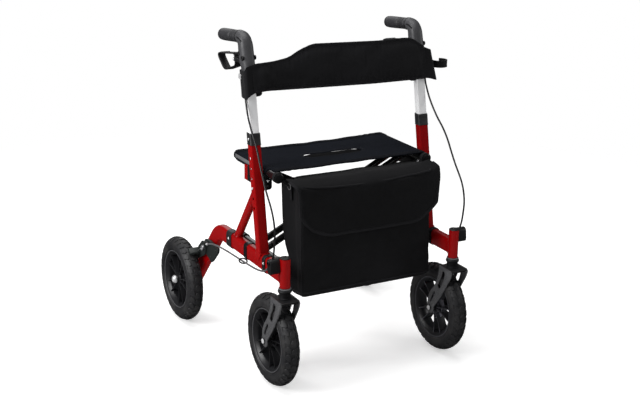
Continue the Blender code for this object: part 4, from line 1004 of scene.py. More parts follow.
def tread_blocks(outline, mirrored, offset):
    """One block, drawn flat, bent over the crown and round the wheel, and repeated."""
    sign = -1 if mirrored else 1
    points = [(sign * across, round_way) for round_way, across in outline]
    block = plate("tread_block", points, "Z", -0.0013, TREAD_DEPTH)
    soften(block, 0.0008, 1, 50)
    edit(block)
    for step in range(-6, 7):
        bpy.ops.mesh.select_all(action="SELECT")
        bpy.ops.mesh.bisect(plane_co=(step * 0.0042 + 0.0001, 0, 0), plane_no=(1, 0, 0))
    bpy.ops.object.mode_set(mode="OBJECT")
    for vert in block.data.vertices:
        across, round_way, height = vert.co
        radius = SECTION_RADIUS - TREAD_DEPTH + height
        lean = across / SECTION_RADIUS
        out = SECTION_MIDDLE + radius * math.cos(lean)
        travel = round_way / WHEEL_RADIUS + offset
        vert.co = (radius * math.sin(lean), out * math.sin(travel), out * math.cos(travel))
    edit(block)
    bpy.ops.mesh.spin(
        steps=TREAD_PITCHES - 1,
        angle=2 * math.pi * (1 - 1 / TREAD_PITCHES),
        dupli=True,
        center=(0, 0, 0),
        axis=(1, 0, 0),
    )
    return mend(block)


CENTRE_BLOCK = [
    (-0.0085, -0.006), (0.0, -0.0085), (0.0075, -0.004), (0.0085, 0.004), (0.001, 0.0085), (-0.0075, 0.004)
]
SHOULDER_BLOCK = [(-0.0085, 0.0105), (0.002, 0.0095), (0.008, 0.0135), (0.009, 0.020), (0.0055, 0.0265)]
SHOULDER_BLOCK += [(-0.0035, 0.0265), (-0.0055, 0.020), (-0.009, 0.0165)]


def make_tyres():
    pitch = 2 * math.pi / TREAD_PITCHES
    casing = tyre_casing()
    blocks = [
        tread_blocks(CENTRE_BLOCK, False, 0),
        tread_blocks(SHOULDER_BLOCK, False, pitch * 0.35),
        tread_blocks(SHOULDER_BLOCK, True, pitch * 0.85),
    ]
    on_wheels(join(casing, *blocks), "tyre_rubber", FINISH["tyre"], "tyre", angle=32)


def wheel_ring(radius, width, thickness, start, end, steps):
    """A curved rib that joins two spokes, as deep as it is wide."""
    inner = arc((0, 0), radius - thickness / 2, start, end, steps)
    outer = arc((0, 0), radius + thickness / 2, end, start, steps)
    return plate("rib", inner + outer, "X", -width / 2, width / 2)


def make_rims():
    """A moulded rim with a deep barrel, five pairs of thin deep spokes, and a lobed hub."""
    half = RIM_HALF_WIDTH
    side = [(half + 0.0002, RIM_EDGE - 0.0006), (half - 0.0006, RIM_EDGE + 0.0004)]
    side += [(half - 0.0018, RIM_EDGE), (half - 0.0030, RIM_EDGE - 0.0026), (0.0095, 0.0806), (0, 0.0788)]
    outer = [(-x, r) for x, r in side] + side[-2::-1]
    barrel = [(half, 0.0845), (half - 0.0010, 0.0830), (0.0150, 0.0792), (0.0102, 0.0743), (0.0092, 0.0737)]
    loop = outer + barrel + [(-x, r) for x, r in barrel[::-1]]
    rim = turn("rim", loop + loop[:1], steps=84)
    pieces = []
    for pair in range(SPOKE_PAIRS):
        middle = 360 / SPOKE_PAIRS * pair + 18
        for lean in (-SPOKE_SPREAD, SPOKE_SPREAD):
            outline = [
                (0.0140, 0.0150), (0.0122, 0.0340), (0.0130, 0.0560), (0.0156, 0.0796), (0.0100, 0.0745)
            ]
            outline += [(-x, r) for x, r in outline[::-1]]
            fin = plate("spoke", outline, "Y", -0.0017, 0.0017)
            soften(fin, 0.0009, 2)
            foot = math.radians(middle + lean * 0.8)
            fin.rotation_euler.x = foot
            pieces.append(mend(fin))
        rib = wheel_ring(0.0335, 0.0185, 0.0030, 90 + middle - lean * 0.8, 90 + middle + lean * 0.8, 8)
        pieces.append(soften(rib, 0.0006, 1))
    for end, half_length in HUB_HALF.items():
        bore = {"front": 0.0043, "rear": 0.0053}[end]
        profile = [(-half_length, bore), (-half_length, 0.0116), (-half_length + 0.0009, 0.0125)]
        profile += [(-0.0128, 0.0132), (-0.0120, 0.0182), (-0.0108, 0.0195)]
        profile += [(-x, r) for x, r in profile[::-1]]
        hub = turn("hub", profile + profile[:1], steps=40)
        parts = [copy_of(piece, "part") for piece in (rim, *pieces)]
        web = [(-0.0022, 0.0180), (-0.0016, 0.0335), (0.0016, 0.0335), (0.0022, 0.0180)]
        whole = join(parts[0], *parts[1:], hub, turn("web", web + web[:1], steps=60))
        on_wheels(whole, "rim_moulding", FINISH["rim"], "rim", ends=(end,))
    for piece in (rim, *pieces):
        bpy.data.objects.remove(piece)
    # The lip bead is painted grey as a highlight along the rim's outer edge.
    bead = 0.0014
    around = (0, 1.05, 2.09, 3.14, 4.19, 5.24)
    lip = [(half + 0.0002 + bead * math.cos(a), 0.0862 + bead * math.sin(a)) for a in around]
    on_wheels(turn("lip", lip + lip[:1], steps=84), "rim_lip", FINISH["lip"])
    cap = turn("bearing_seal", [(0, 0.0044), (0.0006, 0.0046), (0.0006, 0.0098), (0, 0.0102)], steps=36)
    for end, half_length in HUB_HALF.items():
        seal = copy_of(cap, "seal", (half_length - 0.0002, 0, 0))
        on_wheels(seal, "bearing_seal", FINISH["steel"], ends=(end,))
    bpy.data.objects.remove(cap)


def make_axles():
    """The front bolt through the fork's feet, and the rear bolt through the rail and the wheel."""
    x, y, z = FRONT_WHEEL
    out = LEG_OUTER + 0.0025
    line = [(-out, 0), (-out, 0.0040), (out, 0.0040), (out, 0)]
    bolt = turn("bolt", [(x + along, r) for along, r in line], (0, y, z), steps=20)
    heads = [screw("head", (x + sign * out, y, z), (sign, 0, 0), 0.0070, 0.0018) for sign in (1, -1)]
    put_both(
        join(bolt, *heads), "{side}_front_axle_bolt", "{side}_caster", FINISH["steel"], "{side}_front_axle"
    )
    washers = []
    for sign in (1, -1):
        for low, high, radius in ((LEG_OUTER, out, 0.0086), (HUB_HALF["front"] + 0.0003, LEG_INNER, 0.0066)):
            rim = [(low + 0.0001, 0.0041), (low + 0.0001, radius), (high - 0.0004, radius)]
            rim += [(high, radius - 0.0006), (high, 0.0041)]
            loop = [(x + sign * along, r) for along, r in rim]
            washers.append(turn("washer", loop + loop[:1], (0, y, z), steps=28))
    put_both(join(*washers), "{side}_front_axle_washers", "{side}_caster", FINISH["black_paint"])

    x, y, z = REAR_WHEEL
    head = screw("head", (0.2492, y, z), (-1, 0, 0), 0.0090, 0.0042)
    hub_face = x + HUB_HALF["rear"]
    line = [(0.2480, 0), (0.2480, 0.0049), (hub_face + 0.003, 0.0049), (hub_face + 0.003, 0)]
    shaft = turn("shaft", line, (0, y, z), steps=24)
    inner_face = x - HUB_HALF["rear"]
    loop = [(0.2749, 0.0050), (0.2749, 0.0080), (inner_face - 0.0004, 0.0078), (inner_face - 0.0004, 0.0050)]
    spacer = turn("spacer", loop + loop[:1], (0, y, z), steps=28)
    loop = [
        (hub_face + 0.0003, 0), (hub_face + 0.0003, 0.0084), (hub_face + 0.0014, 0.0084),
        (hub_face + 0.0014, 0)
    ]
    washer = turn("washer", loop, (0, y, z), steps=32)
    cap = [
        (0, 0), (0, 0.0114), (0.0010, 0.0120), (0.0030, 0.0118), (0.0062, 0.0102), (0.0088, 0.0072),
        (0.0102, 0.0036), (0.0106, 0)
    ]
    dome = turn("dome", cap, (hub_face + 0.0015, y, z), (1, 0, 0), 36)
    put_both(
        join(head, shaft, spacer, washer, dome),
        "{side}_rear_axle_bolt",
        "{side}_frame",
        FINISH["steel"],
        "{side}_rear_axle",
    )


# Fork and head tube


def make_forks():
    """The slotted fork legs and the crown that joins them under the swivel bearing."""
    wheel_x, axle_y, axle_z = FRONT_WHEEL
    back_edge = [
        (-0.298, 0.268), (-0.2985, 0.254), (-0.2940, 0.232), (-0.2805, 0.203), (-0.2600, 0.176),
        (-0.2500, 0.152)
    ]
    foot = arc((axle_y - 0.004, axle_z), 0.0155, 15, -205, 22)
    front_edge = [
        (-0.2850, 0.143), (-0.3120, 0.178), (-0.3370, 0.218), (-0.3530, 0.245), (-0.3585, 0.262),
        (-0.353, 0.268)
    ]
    outline = back_edge[:1] + [tuple(p) for p in smooth_route(back_edge[1:], 14)] + foot
    outline += [tuple(p) for p in smooth_route(front_edge[:5], 16)] + front_edge[5:]
    upper = strip([(-0.3210, 0.2500), (-0.3160, 0.232), (-0.3020, 0.2060)], 0.0145)
    lower = strip([(-0.2810, 0.1800), (-0.2710, 0.163), (-0.2655, 0.1500)], 0.0085)
    leg = plate("leg", outline, "X", wheel_x + LEG_INNER, wheel_x + LEG_OUTER)
    for slot in (upper, lower):
        combine(leg, "DIFFERENCE", plate("slot", slot, "X", wheel_x, wheel_x + 0.05))
    soften(leg, 0.0009, 2, 40)
    inner_leg = copy_of(leg, "inner_leg", (2 * wheel_x, 0, 0), mirrored=True)
    put_both(join(leg, inner_leg), "{side}_fork_legs", "{side}_caster", FINISH["fork"], "{side}_fork")

    half = LEG_OUTER - 0.0004
    front, back = -0.3595, -0.2935
    corners = [(-half, back), (half, back)] + arc((half - 0.011, front + 0.011), 0.011, 0, -90, 8)
    corners += arc((-half + 0.011, front + 0.011), 0.011, -90, -180, 8)
    crown = plate("crown", [(wheel_x + x, y) for x, y in corners], "Z", 0.2610, 0.2677)
    soften(crown, 0.0022, 3, 40)
    put_both(crown, "{side}_fork_crown", "{side}_caster", FINISH["black_paint"])


def make_casters():
    """The swivel bearing under the head tube, its light ring, and the head tube with its cap."""
    foot = (FRAME_X, CASTER_Y, 0)
    upwards = (0, 0, 1)
    neck = [(0.2679, 0), (0.2679, 0.0168), (0.2694, 0.0172), (0.2705, 0.0158), (0.2812, 0.0152)]
    bulge = [(0.2880 + 0.0046 * math.sin(a), 0.0150 + 0.0036 * math.cos(a)) for a in
             [math.radians(d) for d in range(-80, 81, 20)]]
    neck += bulge + [(0.2932, 0.0140), (0.2932, 0)]
    bearing = turn("bearing", neck, foot, upwards, 40)
    put_both(bearing, "{side}_caster_bearing", "{side}_caster", FINISH["black"], "{side}_caster_stem")
    ring = [(0.2934, 0), (0.2934, 0.0160), (0.2940, 0.0166), (0.2958, 0.0166), (0.2964, 0.0160), (0.2964, 0)]
    collar = turn("ring", ring, foot, upwards, 40)
    put_both(collar, "{side}_caster_ring", "{side}_caster", FINISH["cast"])

    low, high = HEAD_TUBE_Z
    wall = [(low, 0.0112), (low, HEAD_TUBE_RADIUS - 0.0006), (low + 0.0006, HEAD_TUBE_RADIUS)]
    wall += [(high - 0.0006, HEAD_TUBE_RADIUS), (high, HEAD_TUBE_RADIUS - 0.0006), (high, 0.0112)]
    head = turn("head", wall + wall[:1], foot, upwards, 40)
    put_both(head, "{side}_head_tube_shell", "{side}_frame", FINISH["red"], "{side}_head_tube")
    cap = [(high - 0.004, 0), (high - 0.004, 0.0111), (high + 0.0002, 0.0111), (high + 0.0002, 0.0139)]
    cap += [
        (high + 0.0016, 0.0141), (high + 0.0028, 0.0128), (high + 0.0038, 0.0092), (high + 0.0032, 0.0060)
    ]
    cap += [(high + 0.0030, 0)]
    top = turn("cap", cap, foot, upwards, 40)
    put_both(top, "{side}_head_cap", "{side}_frame", FINISH["black"])


# Side frames


def rail_path():
    """The bent rail's middle line, as (y, z) points, from the head tube to past the rear axle."""
    bend = arc(RAIL_BEND, BEND_RADIUS, 90, 90 - math.degrees(DOWN_ANGLE), 14)
    down = Vector((math.cos(DOWN_ANGLE), -math.sin(DOWN_ANGLE)))
    end = Vector(REAR_WHEEL[1:]) + down * RAIL_PAST_AXLE
    return [(CASTER_Y + 0.004, RAIL_Z), (CASTER_Y + 0.03, RAIL_Z), *bend, tuple(end)]


def make_rails():
    """The bent lower rail, its end plug, and the weld where it meets the head tube."""
    section = rounded(*RAIL_SIZE, 6)
    path = rail_path()
    down = (Vector(path[-1]) - Vector(path[-2])).normalized()
    path[-1] = tuple(Vector(path[-1]) - down * 0.002)
    rail = loft("rail", side_rings(FRAME_X, path, [section] * len(path)))
    put_both(rail, "{side}_bent_rail", "{side}_frame", FINISH["red"], "{side}_lower_rail")
    ends = [Vector(path[-1]) + down * along for along in (0.0001, 0.0012, 0.0019)]
    width, height, radius = RAIL_SIZE
    sizes = [
        (width, height, radius), (width, height, radius), (width - 0.002, height - 0.002, radius - 0.001)
    ]
    plug = loft("plug", side_rings(FRAME_X, [tuple(end) for end in ends], [rounded(*s, 6) for s in sizes]))
    put_both(plug, "{side}_rail_end_plug", "{side}_frame", FINISH["black"])

    bead = []
    for u, v in rounded(RAIL_SIZE[0], RAIL_SIZE[1], RAIL_SIZE[2], 10):
        shoulder = math.sqrt((HEAD_TUBE_RADIUS + 0.0008) ** 2 - u**2)
        bead.append((FRAME_X + u, CASTER_Y + shoulder, RAIL_Z + v))
    joint = weld("bead", even_points(bead, 0.0016, closed=True), 0.0017, closed=True)
    put_both(joint, "{side}_head_tube_weld", "{side}_frame", FINISH["red"])


def make_uprights():
    """The leaning upright with its height holes, the rear brace, and their welds."""
    upright = loft("upright", column_rings(FRAME_X, UPRIGHT_SIZE, UPRIGHT_Z, 6))
    bore_ends = (UPRIGHT_Z[0] - 0.03, UPRIGHT_Z[1] + 0.03)
    combine(upright, "DIFFERENCE", loft("bore", column_rings(FRAME_X, UPRIGHT_BORE, bore_ends, 5)))
    section = rounded(*RAIL_SIZE, 6)
    combine(
        upright, "DIFFERENCE",
        loft("seat", side_rings(FRAME_X, [(-0.30, RAIL_Z), (0, RAIL_Z)], [section] * 2))
    )
    front, back = column_y(0.35) - 0.0145, column_y(0.35) + 0.0145
    middle, shoulder = (front + back) / 2, RAIL_Z + RAIL_SIZE[1] / 2
    tongue = [(middle - 0.003, UPRIGHT_TONGUE), (middle + 0.003, UPRIGHT_TONGUE)]
    outline = [(front - 0.02, 0.29), (front - 0.02, shoulder), (front, shoulder), *tongue]
    outline += [(back, shoulder), (back + 0.02, shoulder), (back + 0.02, 0.29)]
    combine(upright, "DIFFERENCE", plate("trim", outline, "X", FRAME_X - 0.03, FRAME_X + 0.03))
    for z in HOLE_HEIGHTS:
        hole = turn("hole", [(0, 0), (0, HOLE_RADIUS), (0.03, HOLE_RADIUS), (0.03, 0)],
                    (FRAME_X + 0.006, column_y(z), z), (1, 0, 0), 24)
        combine(upright, "DIFFERENCE", hole)
    put_both(upright, "{side}_column_tube", "{side}_frame", FINISH["red"], "{side}_upright", 30)

    beads = []
    for face in (FRAME_X + RAIL_SIZE[0] / 2 + 0.0006, FRAME_X - RAIL_SIZE[0] / 2 - 0.0006):
        beads.append([(face, y, z) for y, z in [(front, shoulder), *tongue, (back, shoulder)]])
    route = beads[0] + beads[1][::-1]
    joint = weld("bead", even_points(route, 0.0017, closed=True), 0.0017, closed=True)
    put_both(joint, "{side}_column_weld", "{side}_frame", FINISH["red"])

    foot, head = (Vector((FRAME_X, *end)) for end in BRACE_ENDS)
    along = (head - foot).normalized()
    lean = Vector((0, COLUMN_LEAN, 1)).normalized()
    column_back = Vector((0, lean.z, -lean.y))
    column_face = Vector((0, COLUMN_Y, COLUMN_Z)) + column_back * (UPRIGHT_SIZE[1] / 2)
    bar = tube("bar", [foot - along * 0.03, head + along * 0.08], BRACE_RADIUS, 24)
    edit(bar)
    for point, normal in (((0, 0, RAIL_Z + RAIL_SIZE[1] / 2), (0, 0, -1)), (column_face, -column_back)):
        bpy.ops.mesh.select_all(action="SELECT")
        bpy.ops.mesh.bisect(plane_co=point, plane_no=normal, clear_outer=True, use_fill=True)
    put_both(mend(bar), "{side}_brace_bar", "{side}_frame", FINISH["red"], "{side}_rear_brace")
    rings = (
        cut_ring(foot, along, (0, 0, RAIL_Z + RAIL_SIZE[1] / 2 + 0.0004), (0, 0, 1), BRACE_RADIUS),
        cut_ring(foot, along, column_face, column_back, BRACE_RADIUS),
    )
    welds = [weld("bead", even_points(ring, 0.0017, closed=True), 0.0018, closed=True) for ring in rings]
    put_both(join(*welds), "{side}_brace_welds", "{side}_frame", FINISH["red"])


def make_saddles():
    """The shelf that the seat rail rests in, riveted to the column's inner face."""
    outer = FRAME_X - UPRIGHT_SIZE[0] / 2 + 0.0004
    cradle = SEAT_RAIL_RADIUS + 0.0003
    inner = SEAT_RAIL_X - 0.0058
    end = math.degrees(math.acos((inner - SEAT_RAIL_X) / cradle))
    curve = [(SEAT_RAIL_X + cradle, SEAT_RAIL_Z - 0.003)]
    curve += arc((SEAT_RAIL_X, SEAT_RAIL_Z), cradle, -12, -end, 12)
    outline = [(outer, SEAT_RAIL_Z - 0.003), *curve, (inner, 0.524)]
    outline += arc((inner + 0.008, 0.522), 0.008, 180, 270, 5) + [(outer, 0.514)]
    shelf = soften(plate("shelf", outline, "Y", -0.167, -0.0650), 0.0016, 3, 50)
    put_both(shelf, "{side}_saddle_shelf", "{side}_frame", FINISH["black_gloss"], "{side}_seat_saddle")
    end = soften(plate("end", outline, "Y", -0.0652, -0.046), 0.0016, 3, 50)
    put_both(end, "{side}_saddle_end", "{side}_frame", FINISH["red"])
    faces = ((-0.1668, -1), (-0.0462, 1))
    pins = [rivet("rivet", (0.2350, y, 0.5385), (0, way, 0), 0.0034, 0.0016) for y, way in faces]
    put_both(join(*pins), "{side}_saddle_rivets", "{side}_frame", FINISH["steel"])
    stop = rivet("stop", (0.2350, -0.1668, 0.5240), (0, -1, 0), 0.0042, 0.0032)
    put_both(stop, "{side}_saddle_stop", "{side}_frame", FINISH["black"])


def make_columns():
    """The moulded collar on the upright, the anodised inner tube and its spring button."""
    low, high = UPRIGHT_Z[1] + 0.0003, COLLAR_TOP
    width, depth, radius = COLLAR_SIZE
    heights = (low, low + 0.0008, low + 0.0022, low + 0.0030, high - 0.0060, high - 0.0015, high)
    inset = (0.0016, 0.0, 0.0, 0.0012, 0.0012, 0.0016, 0.0034)
    rings = []
    for z, less in zip(heights, inset):
        size = (width - less, depth - less, radius - less / 2)
        rings += column_rings(FRAME_X, size, (z,), 6)
    collar = loft("collar", rings)
    combine(
        collar, "DIFFERENCE", loft("bore", column_rings(FRAME_X, UPRIGHT_BORE, (low - 0.02, high + 0.02), 5))
    )
    put_both(collar, "{side}_collar_moulding", "{side}_frame", FINISH["collar"], "{side}_collar")
    tab = screw("screw", (FRAME_X + width / 2 - 0.0008, column_y(0.650), 0.650), (1, 0, 0), 0.0034, 0.0014)
    put_both(tab, "{side}_collar_screw", "{side}_frame", FINISH["steel"])

    inner = loft("inner", column_rings(FRAME_X, INNER_TUBE_SIZE, INNER_TUBE_Z, 6))
    middle = FRAME_X + INNER_TUBE_SIZE[0] / 2
    groove = loft("groove", column_rings(middle, (0.0072, 0.009, 0.001), (INNER_TUBE_Z[0] - 0.01, 0.585), 1))
    combine(inner, "DIFFERENCE", groove)
    put_both(inner, "{side}_anodised_tube", "{side}_handle", FINISH["silver"], "{side}_inner_tube")

    face = FRAME_X + UPRIGHT_SIZE[0] / 2
    profile = [(-0.0009, 0), (-0.0009, 0.0036), (0.0016, 0.0036)]
    profile += [
        (0.0016 + 0.0016 * math.sin(a), 0.0036 * math.cos(a)) for a in (0.4, 0.8, 1.2)
    ] + [(0.0032, 0)]
    button = turn("button", profile, (face, column_y(BUTTON_Z), BUTTON_Z), (1, 0, 0), 24)
    put_both(button, "{side}_spring_button", "{side}_button", FINISH["steel"], "{side}_height_button")


def clamp(low, high):
    """A band round the rail with an eye for a pivot tube, between two places along the rail."""
    width, height, radius = RAIL_SIZE
    wall = 0.0022
    outer = [
        (FRAME_X + u, RAIL_Z + v) for u, v in rounded(width + 2 * wall, height + 2 * wall, radius + wall, 6)
    ]
    band = plate("band", outer, "Y", low, high)
    reach = FRAME_X - width / 2 - 0.0005
    eye = arc((SEAT_RAIL_X, RAIL_Z), PIVOT_RADIUS + 0.0034, 45, 315, 24)
    eye += [(reach, RAIL_Z - 0.0095), (reach, RAIL_Z + 0.0095)]
    combine(band, "UNION", plate("eye", eye, "Y", low + 0.001, high - 0.001))
    inner = [(FRAME_X + u, RAIL_Z + v) for u, v in rounded(width + 0.0002, height + 0.0002, radius, 6)]
    combine(band, "DIFFERENCE", plate("bore", inner, "Y", low - 0.01, high + 0.01))
    bore = [
        (low - 0.01, 0), (low - 0.01, PIVOT_RADIUS + 0.0003), (high + 0.01, PIVOT_RADIUS + 0.0003),
        (high + 0.01, 0)
    ]
    combine(band, "DIFFERENCE", turn("bore", bore, (SEAT_RAIL_X, 0, RAIL_Z), (0, 1, 0), 32))
    return soften(band, 0.0007, 2, 40)


def make_clamps():
    """The front and rear clamps that hold the cross frame's pivot tube to the rail."""
    face = FRAME_X + RAIL_SIZE[0] / 2 + 0.0022
    # The rear clamp is painted dark grey, lighter than the black front clamp: a painted reflection on a black
    # band.
    for place, low, high, finish in (("front", -0.232, -0.216, "black"), ("rear", -0.018, 0.012, "collar")):
        piece = "{side}_" + place + "_pivot_clamp"
        put_both(clamp(low, high), piece + "_band", "{side}_frame", FINISH[finish], piece)
        middle = (low + high) / 2
        pins = [rivet("rivet", (face - 0.0002, middle, RAIL_Z + 0.004), (1, 0, 0), 0.0038, 0.0018)]
        pins += [
            rivet("rivet", (FRAME_X, middle, RAIL_Z - RAIL_SIZE[1] / 2 - 0.0021), (0, 0, -1), 0.0036, 0.0016)
        ]
        put_both(join(*pins), piece + "_rivets", "{side}_frame", FINISH["steel"])


# Cross frame


def cross_bars(start_side, places):
    """Bars from a pivot tube low on one side to the seat rail of the other, with their welds."""
    start = Vector((start_side * SEAT_RAIL_X, 0, RAIL_Z))
    end = Vector((-start_side * SEAT_RAIL_X, 0, SEAT_RAIL_Z))
    along = (end - start).normalized()
    wall = [
        (-0.2345, 0.0084), (-0.2345, PIVOT_RADIUS - 0.0006), (-0.2339, PIVOT_RADIUS), (0.0139, PIVOT_RADIUS)
    ]
    wall += [(0.0145, PIVOT_RADIUS - 0.0006), (0.0145, 0.0084)]
    pieces = [turn("pivot_tube", wall + wall[:1], tuple(start), (0, 1, 0), 32)]
    for y in places:
        place = Vector((0, y, 0))
        foot = start + place + along * 0.006
        head = end + place - along * (SEAT_RAIL_RADIUS - 0.002)
        pieces.append(tube("bar", [foot, head], BAR_RADIUS, 24))
        for middle, radius, sign in ((start + place, PIVOT_RADIUS, 1), (end + place, SEAT_RAIL_RADIUS, -1)):
            ring = []
            across = along.cross(Vector((0, 1, 0)))
            for step in range(40):
                angle = 2 * math.pi * step / 40
                side, rise = BAR_RADIUS * math.cos(angle), BAR_RADIUS * math.sin(angle)
                reach = math.sqrt((radius + 0.0006) ** 2 - rise**2) + 0.0004
                ring.append(middle + Vector((0, side, 0)) + across * rise + along * sign * reach)
            pieces.append(weld("bead", ring, 0.0016, closed=True))
    return join(*pieces)


def make_cross_frame():
    """The crossing bars that fold, the bolt through their middle, and the seat rails with their caps."""
    put(cross_bars(-1, CROSS_A_BARS), "cross_bar_pair", "cross_a", FINISH["black_gloss"], "cross_frame_pair")
    put(
        cross_bars(1, CROSS_B_BARS), "cross_bar_single", "cross_b", FINISH["black_gloss"],
        "cross_frame_single"
    )
    front, back = CROSS_A_BARS[0] - BAR_RADIUS - 0.0001, CROSS_A_BARS[1] + BAR_RADIUS + 0.0001
    washer = [(front - 0.0010, 0), (front - 0.0010, 0.0078), (front, 0.0078), (front, 0.0039)]
    washer += [(back, 0.0039), (back, 0.0072), (back + 0.0010, 0.0072), (back + 0.0010, 0)]
    bolt = turn("bolt", washer, (0, 0, CENTRE_Z), (0, 1, 0), 32)
    head = screw("head", (0, front - 0.0010, CENTRE_Z), (0, -1, 0), 0.0062, 0.0036)
    nut = hex_nut("nut", (0, back + 0.0010, CENTRE_Z), (0, 1, 0), 0.0068, 0.0033, 0.0036)
    put(join(bolt, head, nut), "centre_pivot_bolt", "cross_a", FINISH["steel"], "centre_bolt")

    rail = [(-0.2200, 0.0098), (-0.2200, 0.0122), (-0.2196, SEAT_RAIL_RADIUS), (0.0296, SEAT_RAIL_RADIUS)]
    rail += [(0.0300, 0.0122), (0.0300, 0.0098)]
    cap = [(-0.2228, 0), (-0.2230, 0.0090), (-0.2222, 0.0118), (-0.2206, 0.0136), (-0.2201, 0.0134)]
    cap += [(-0.2201, 0.0096), (-0.2080, 0.0094), (-0.2080, 0)]
    back_cap = [(0.0160, 0), (0.0160, 0.0096), (0.0292, 0.0096), (0.0299, 0.0060), (0.0299, 0)]
    for side, sign in SIDES.items():
        body = "cross_a" if sign > 0 else "cross_b"
        axis = (sign * SEAT_RAIL_X, 0, SEAT_RAIL_Z)
        bar = turn("rail", rail + rail[:1], axis, (0, 1, 0), 40)
        put(bar, f"{side}_seat_rail_tube", body, FINISH["black_gloss"], f"{side}_seat_rail")
        ends = join(turn("cap", cap, axis, (0, 1, 0), 40), turn("cap", back_cap, axis, (0, 1, 0), 40))
        put(ends, f"{side}_seat_rail_caps", body, FINISH["gloss_black"])


# Handles


def grip_direction():
    return Vector((0, math.cos(GRIP_TILT), math.sin(GRIP_TILT)))


def elbow_corner():
    """Where the handle's axis meets the grip's axis, as (y, z)."""
    tilt = math.tan(GRIP_TILT)
    foot = column_y(0) + HANDLE_SHIFT
    z = (GRIP_START[1] + tilt * (foot - GRIP_START[0])) / (1 - tilt * COLUMN_LEAN)
    return Vector((foot + COLUMN_LEAN * z, z))


def handle_moulding():
    """The sleeve on the inner tube that bends back into the grip, with a recess on each side."""
    corner = elbow_corner()
    into = Vector((COLUMN_LEAN, 1)).normalized()
    out = Vector((math.cos(GRIP_TILT), math.sin(GRIP_TILT)))
    foot = [(HANDLE_Z, 0.0310, 0.0350, 0.012), (HANDLE_Z + 0.0008, 0.0326, 0.0366, 0.0132)]
    foot += [(HANDLE_Z + 0.0045, 0.0334, 0.0374, 0.0138), (HANDLE_Z + 0.006, 0.0340, 0.0380, 0.014)]
    foot += [(0.820, 0.0340, 0.0380, 0.014), (0.836, 0.0340, 0.0380, 0.014)]
    path = [Vector((column_y(z), z)) for z, *_ in foot]
    sizes = [size for _, *size in foot]
    for share in (0.35, 0.7, 1.0):
        z = 0.836 + 0.014 * share
        path.append(Vector((column_y(z) + HANDLE_SHIFT * 0.6 * share, z)))
        sizes.append((0.034 + 0.003 * share, 0.038 + 0.001 * share, 0.014 + 0.001 * share))
    steps = 14
    for step in range(steps + 1):
        t = step / steps
        first, last = corner - into * ELBOW_REACH, corner + out * ELBOW_REACH
        path.append(first * (1 - t) ** 2 + corner * 2 * t * (1 - t) + last * t**2)
        sizes.append((0.037 - 0.003 * t, 0.039 - 0.005 * t, 0.015 + 0.0015 * t))
    path.append(Vector(GRIP_START) - out * 0.0003)
    sizes.append((0.0332, 0.0332, 0.0163))
    rings = side_rings(FRAME_X, [tuple(p) for p in path], [rounded(*size, 6) for size in sizes])
    body = loft("handle", rings)
    recess = strip(HANDLE_SLIT, 0.0052)
    for low, high in ((0.0138, 0.0220), (-0.0220, -0.0138)):
        combine(body, "DIFFERENCE", plate("recess", recess, "X", FRAME_X + low, FRAME_X + high))
    return soften(body, 0.0005, 2, 50)


def make_handles():
    """The handle mouldings with their insets, stops, end rings, lever cheeks, screws and cable ports."""
    put_both(
        handle_moulding(), "{side}_handle_moulding", "{side}_handle", FINISH["handle"], "{side}_handle_body",
        40
    )
    parts = []
    knob = [
        (-0.002, 0), (-0.002, 0.0062), (0.0008, 0.0062), (0.0016, 0.0054), (0.0016, 0.0040), (0.0006, 0.0034),
        (0.0006, 0)
    ]
    for sign in (1, -1):
        low, high = sorted((sign * 0.0132, sign * 0.0146))
        parts.append(plate("insert", strip(HANDLE_SLIT, 0.0050), "X", FRAME_X + low, FRAME_X + high))
        for y, z, out in ((-0.0835, 0.8690, 0.0182), (-0.1035, 0.8590, 0.0184)):
            parts.append(turn("knob", knob, (FRAME_X + sign * out, y, z), (sign, 0, 0), 28))
    put_both(join(*parts), "{side}_handle_insets", "{side}_handle", FINISH["black"])
    lump = [
        (0, 0), (0, 0.0074), (0.003, 0.0082), (0.012, 0.0080), (0.018, 0.0056), (0.0204, 0.0025), (0.0206, 0)
    ]
    foot = (FRAME_X - INNER_TUBE_SIZE[0] / 2, column_y(0.7650), 0.7650)
    put_both(turn("stop", lump, foot, (-1, 0, 0), 32), "{side}_inner_stop", "{side}_handle", FINISH["black"])

    start = Vector((FRAME_X, *GRIP_START))
    ring = [
        (-0.0062, 0.0150), (-0.0060, 0.0172), (-0.0048, 0.0178), (-0.0016, 0.0178), (-0.0004, 0.0172),
        (-0.0004, 0.0150)
    ]
    rim = turn("rim", ring + ring[:1], tuple(start), tuple(grip_direction()), 48)
    put_both(rim, "{side}_handle_end_ring", "{side}_handle", FINISH["black"])

    cheeks = []
    outline = strip([(column_y(LEVER_HINGE[1]) - 0.006, 0.848), LEVER_HINGE], 0.0095)
    for low, high in ((LEVER_HALF + 0.0003, 0.0155), (-0.0155, -LEVER_HALF - 0.0003)):
        cheek = plate("cheek", outline, "X", FRAME_X + low, FRAME_X + high)
        cheeks.append(soften(cheek, 0.0011, 2, 40))
    put_both(join(*cheeks), "{side}_lever_cheeks", "{side}_handle", FINISH["black"])
    heads = []
    for sign in (1, -1):
        heads.append(screw("pin", (FRAME_X + sign * 0.0154, *LEVER_HINGE), (sign, 0, 0), 0.0036, 0.0014))
        foot = (FRAME_X + sign * 0.0168, column_y(0.800), 0.800)
        heads.append(screw("screw", foot, (sign, 0, 0), 0.0030, 0.0010))
    put_both(join(*heads), "{side}_handle_screws", "{side}_handle", FINISH["steel"])

    port_y, port_z = cable_port()
    lean = Vector((0, COLUMN_LEAN, 1)).normalized()
    boot = [(0, 0), (0, 0.0030), (0.002, 0.0034), (0.020, 0.0034), (0.024, 0.0026), (0.024, 0)]
    port = turn("port", boot, (CABLE_PORT_X, port_y, port_z), tuple(lean), 20)
    put_both(port, "{side}_cable_port", "{side}_handle", FINISH["black"])


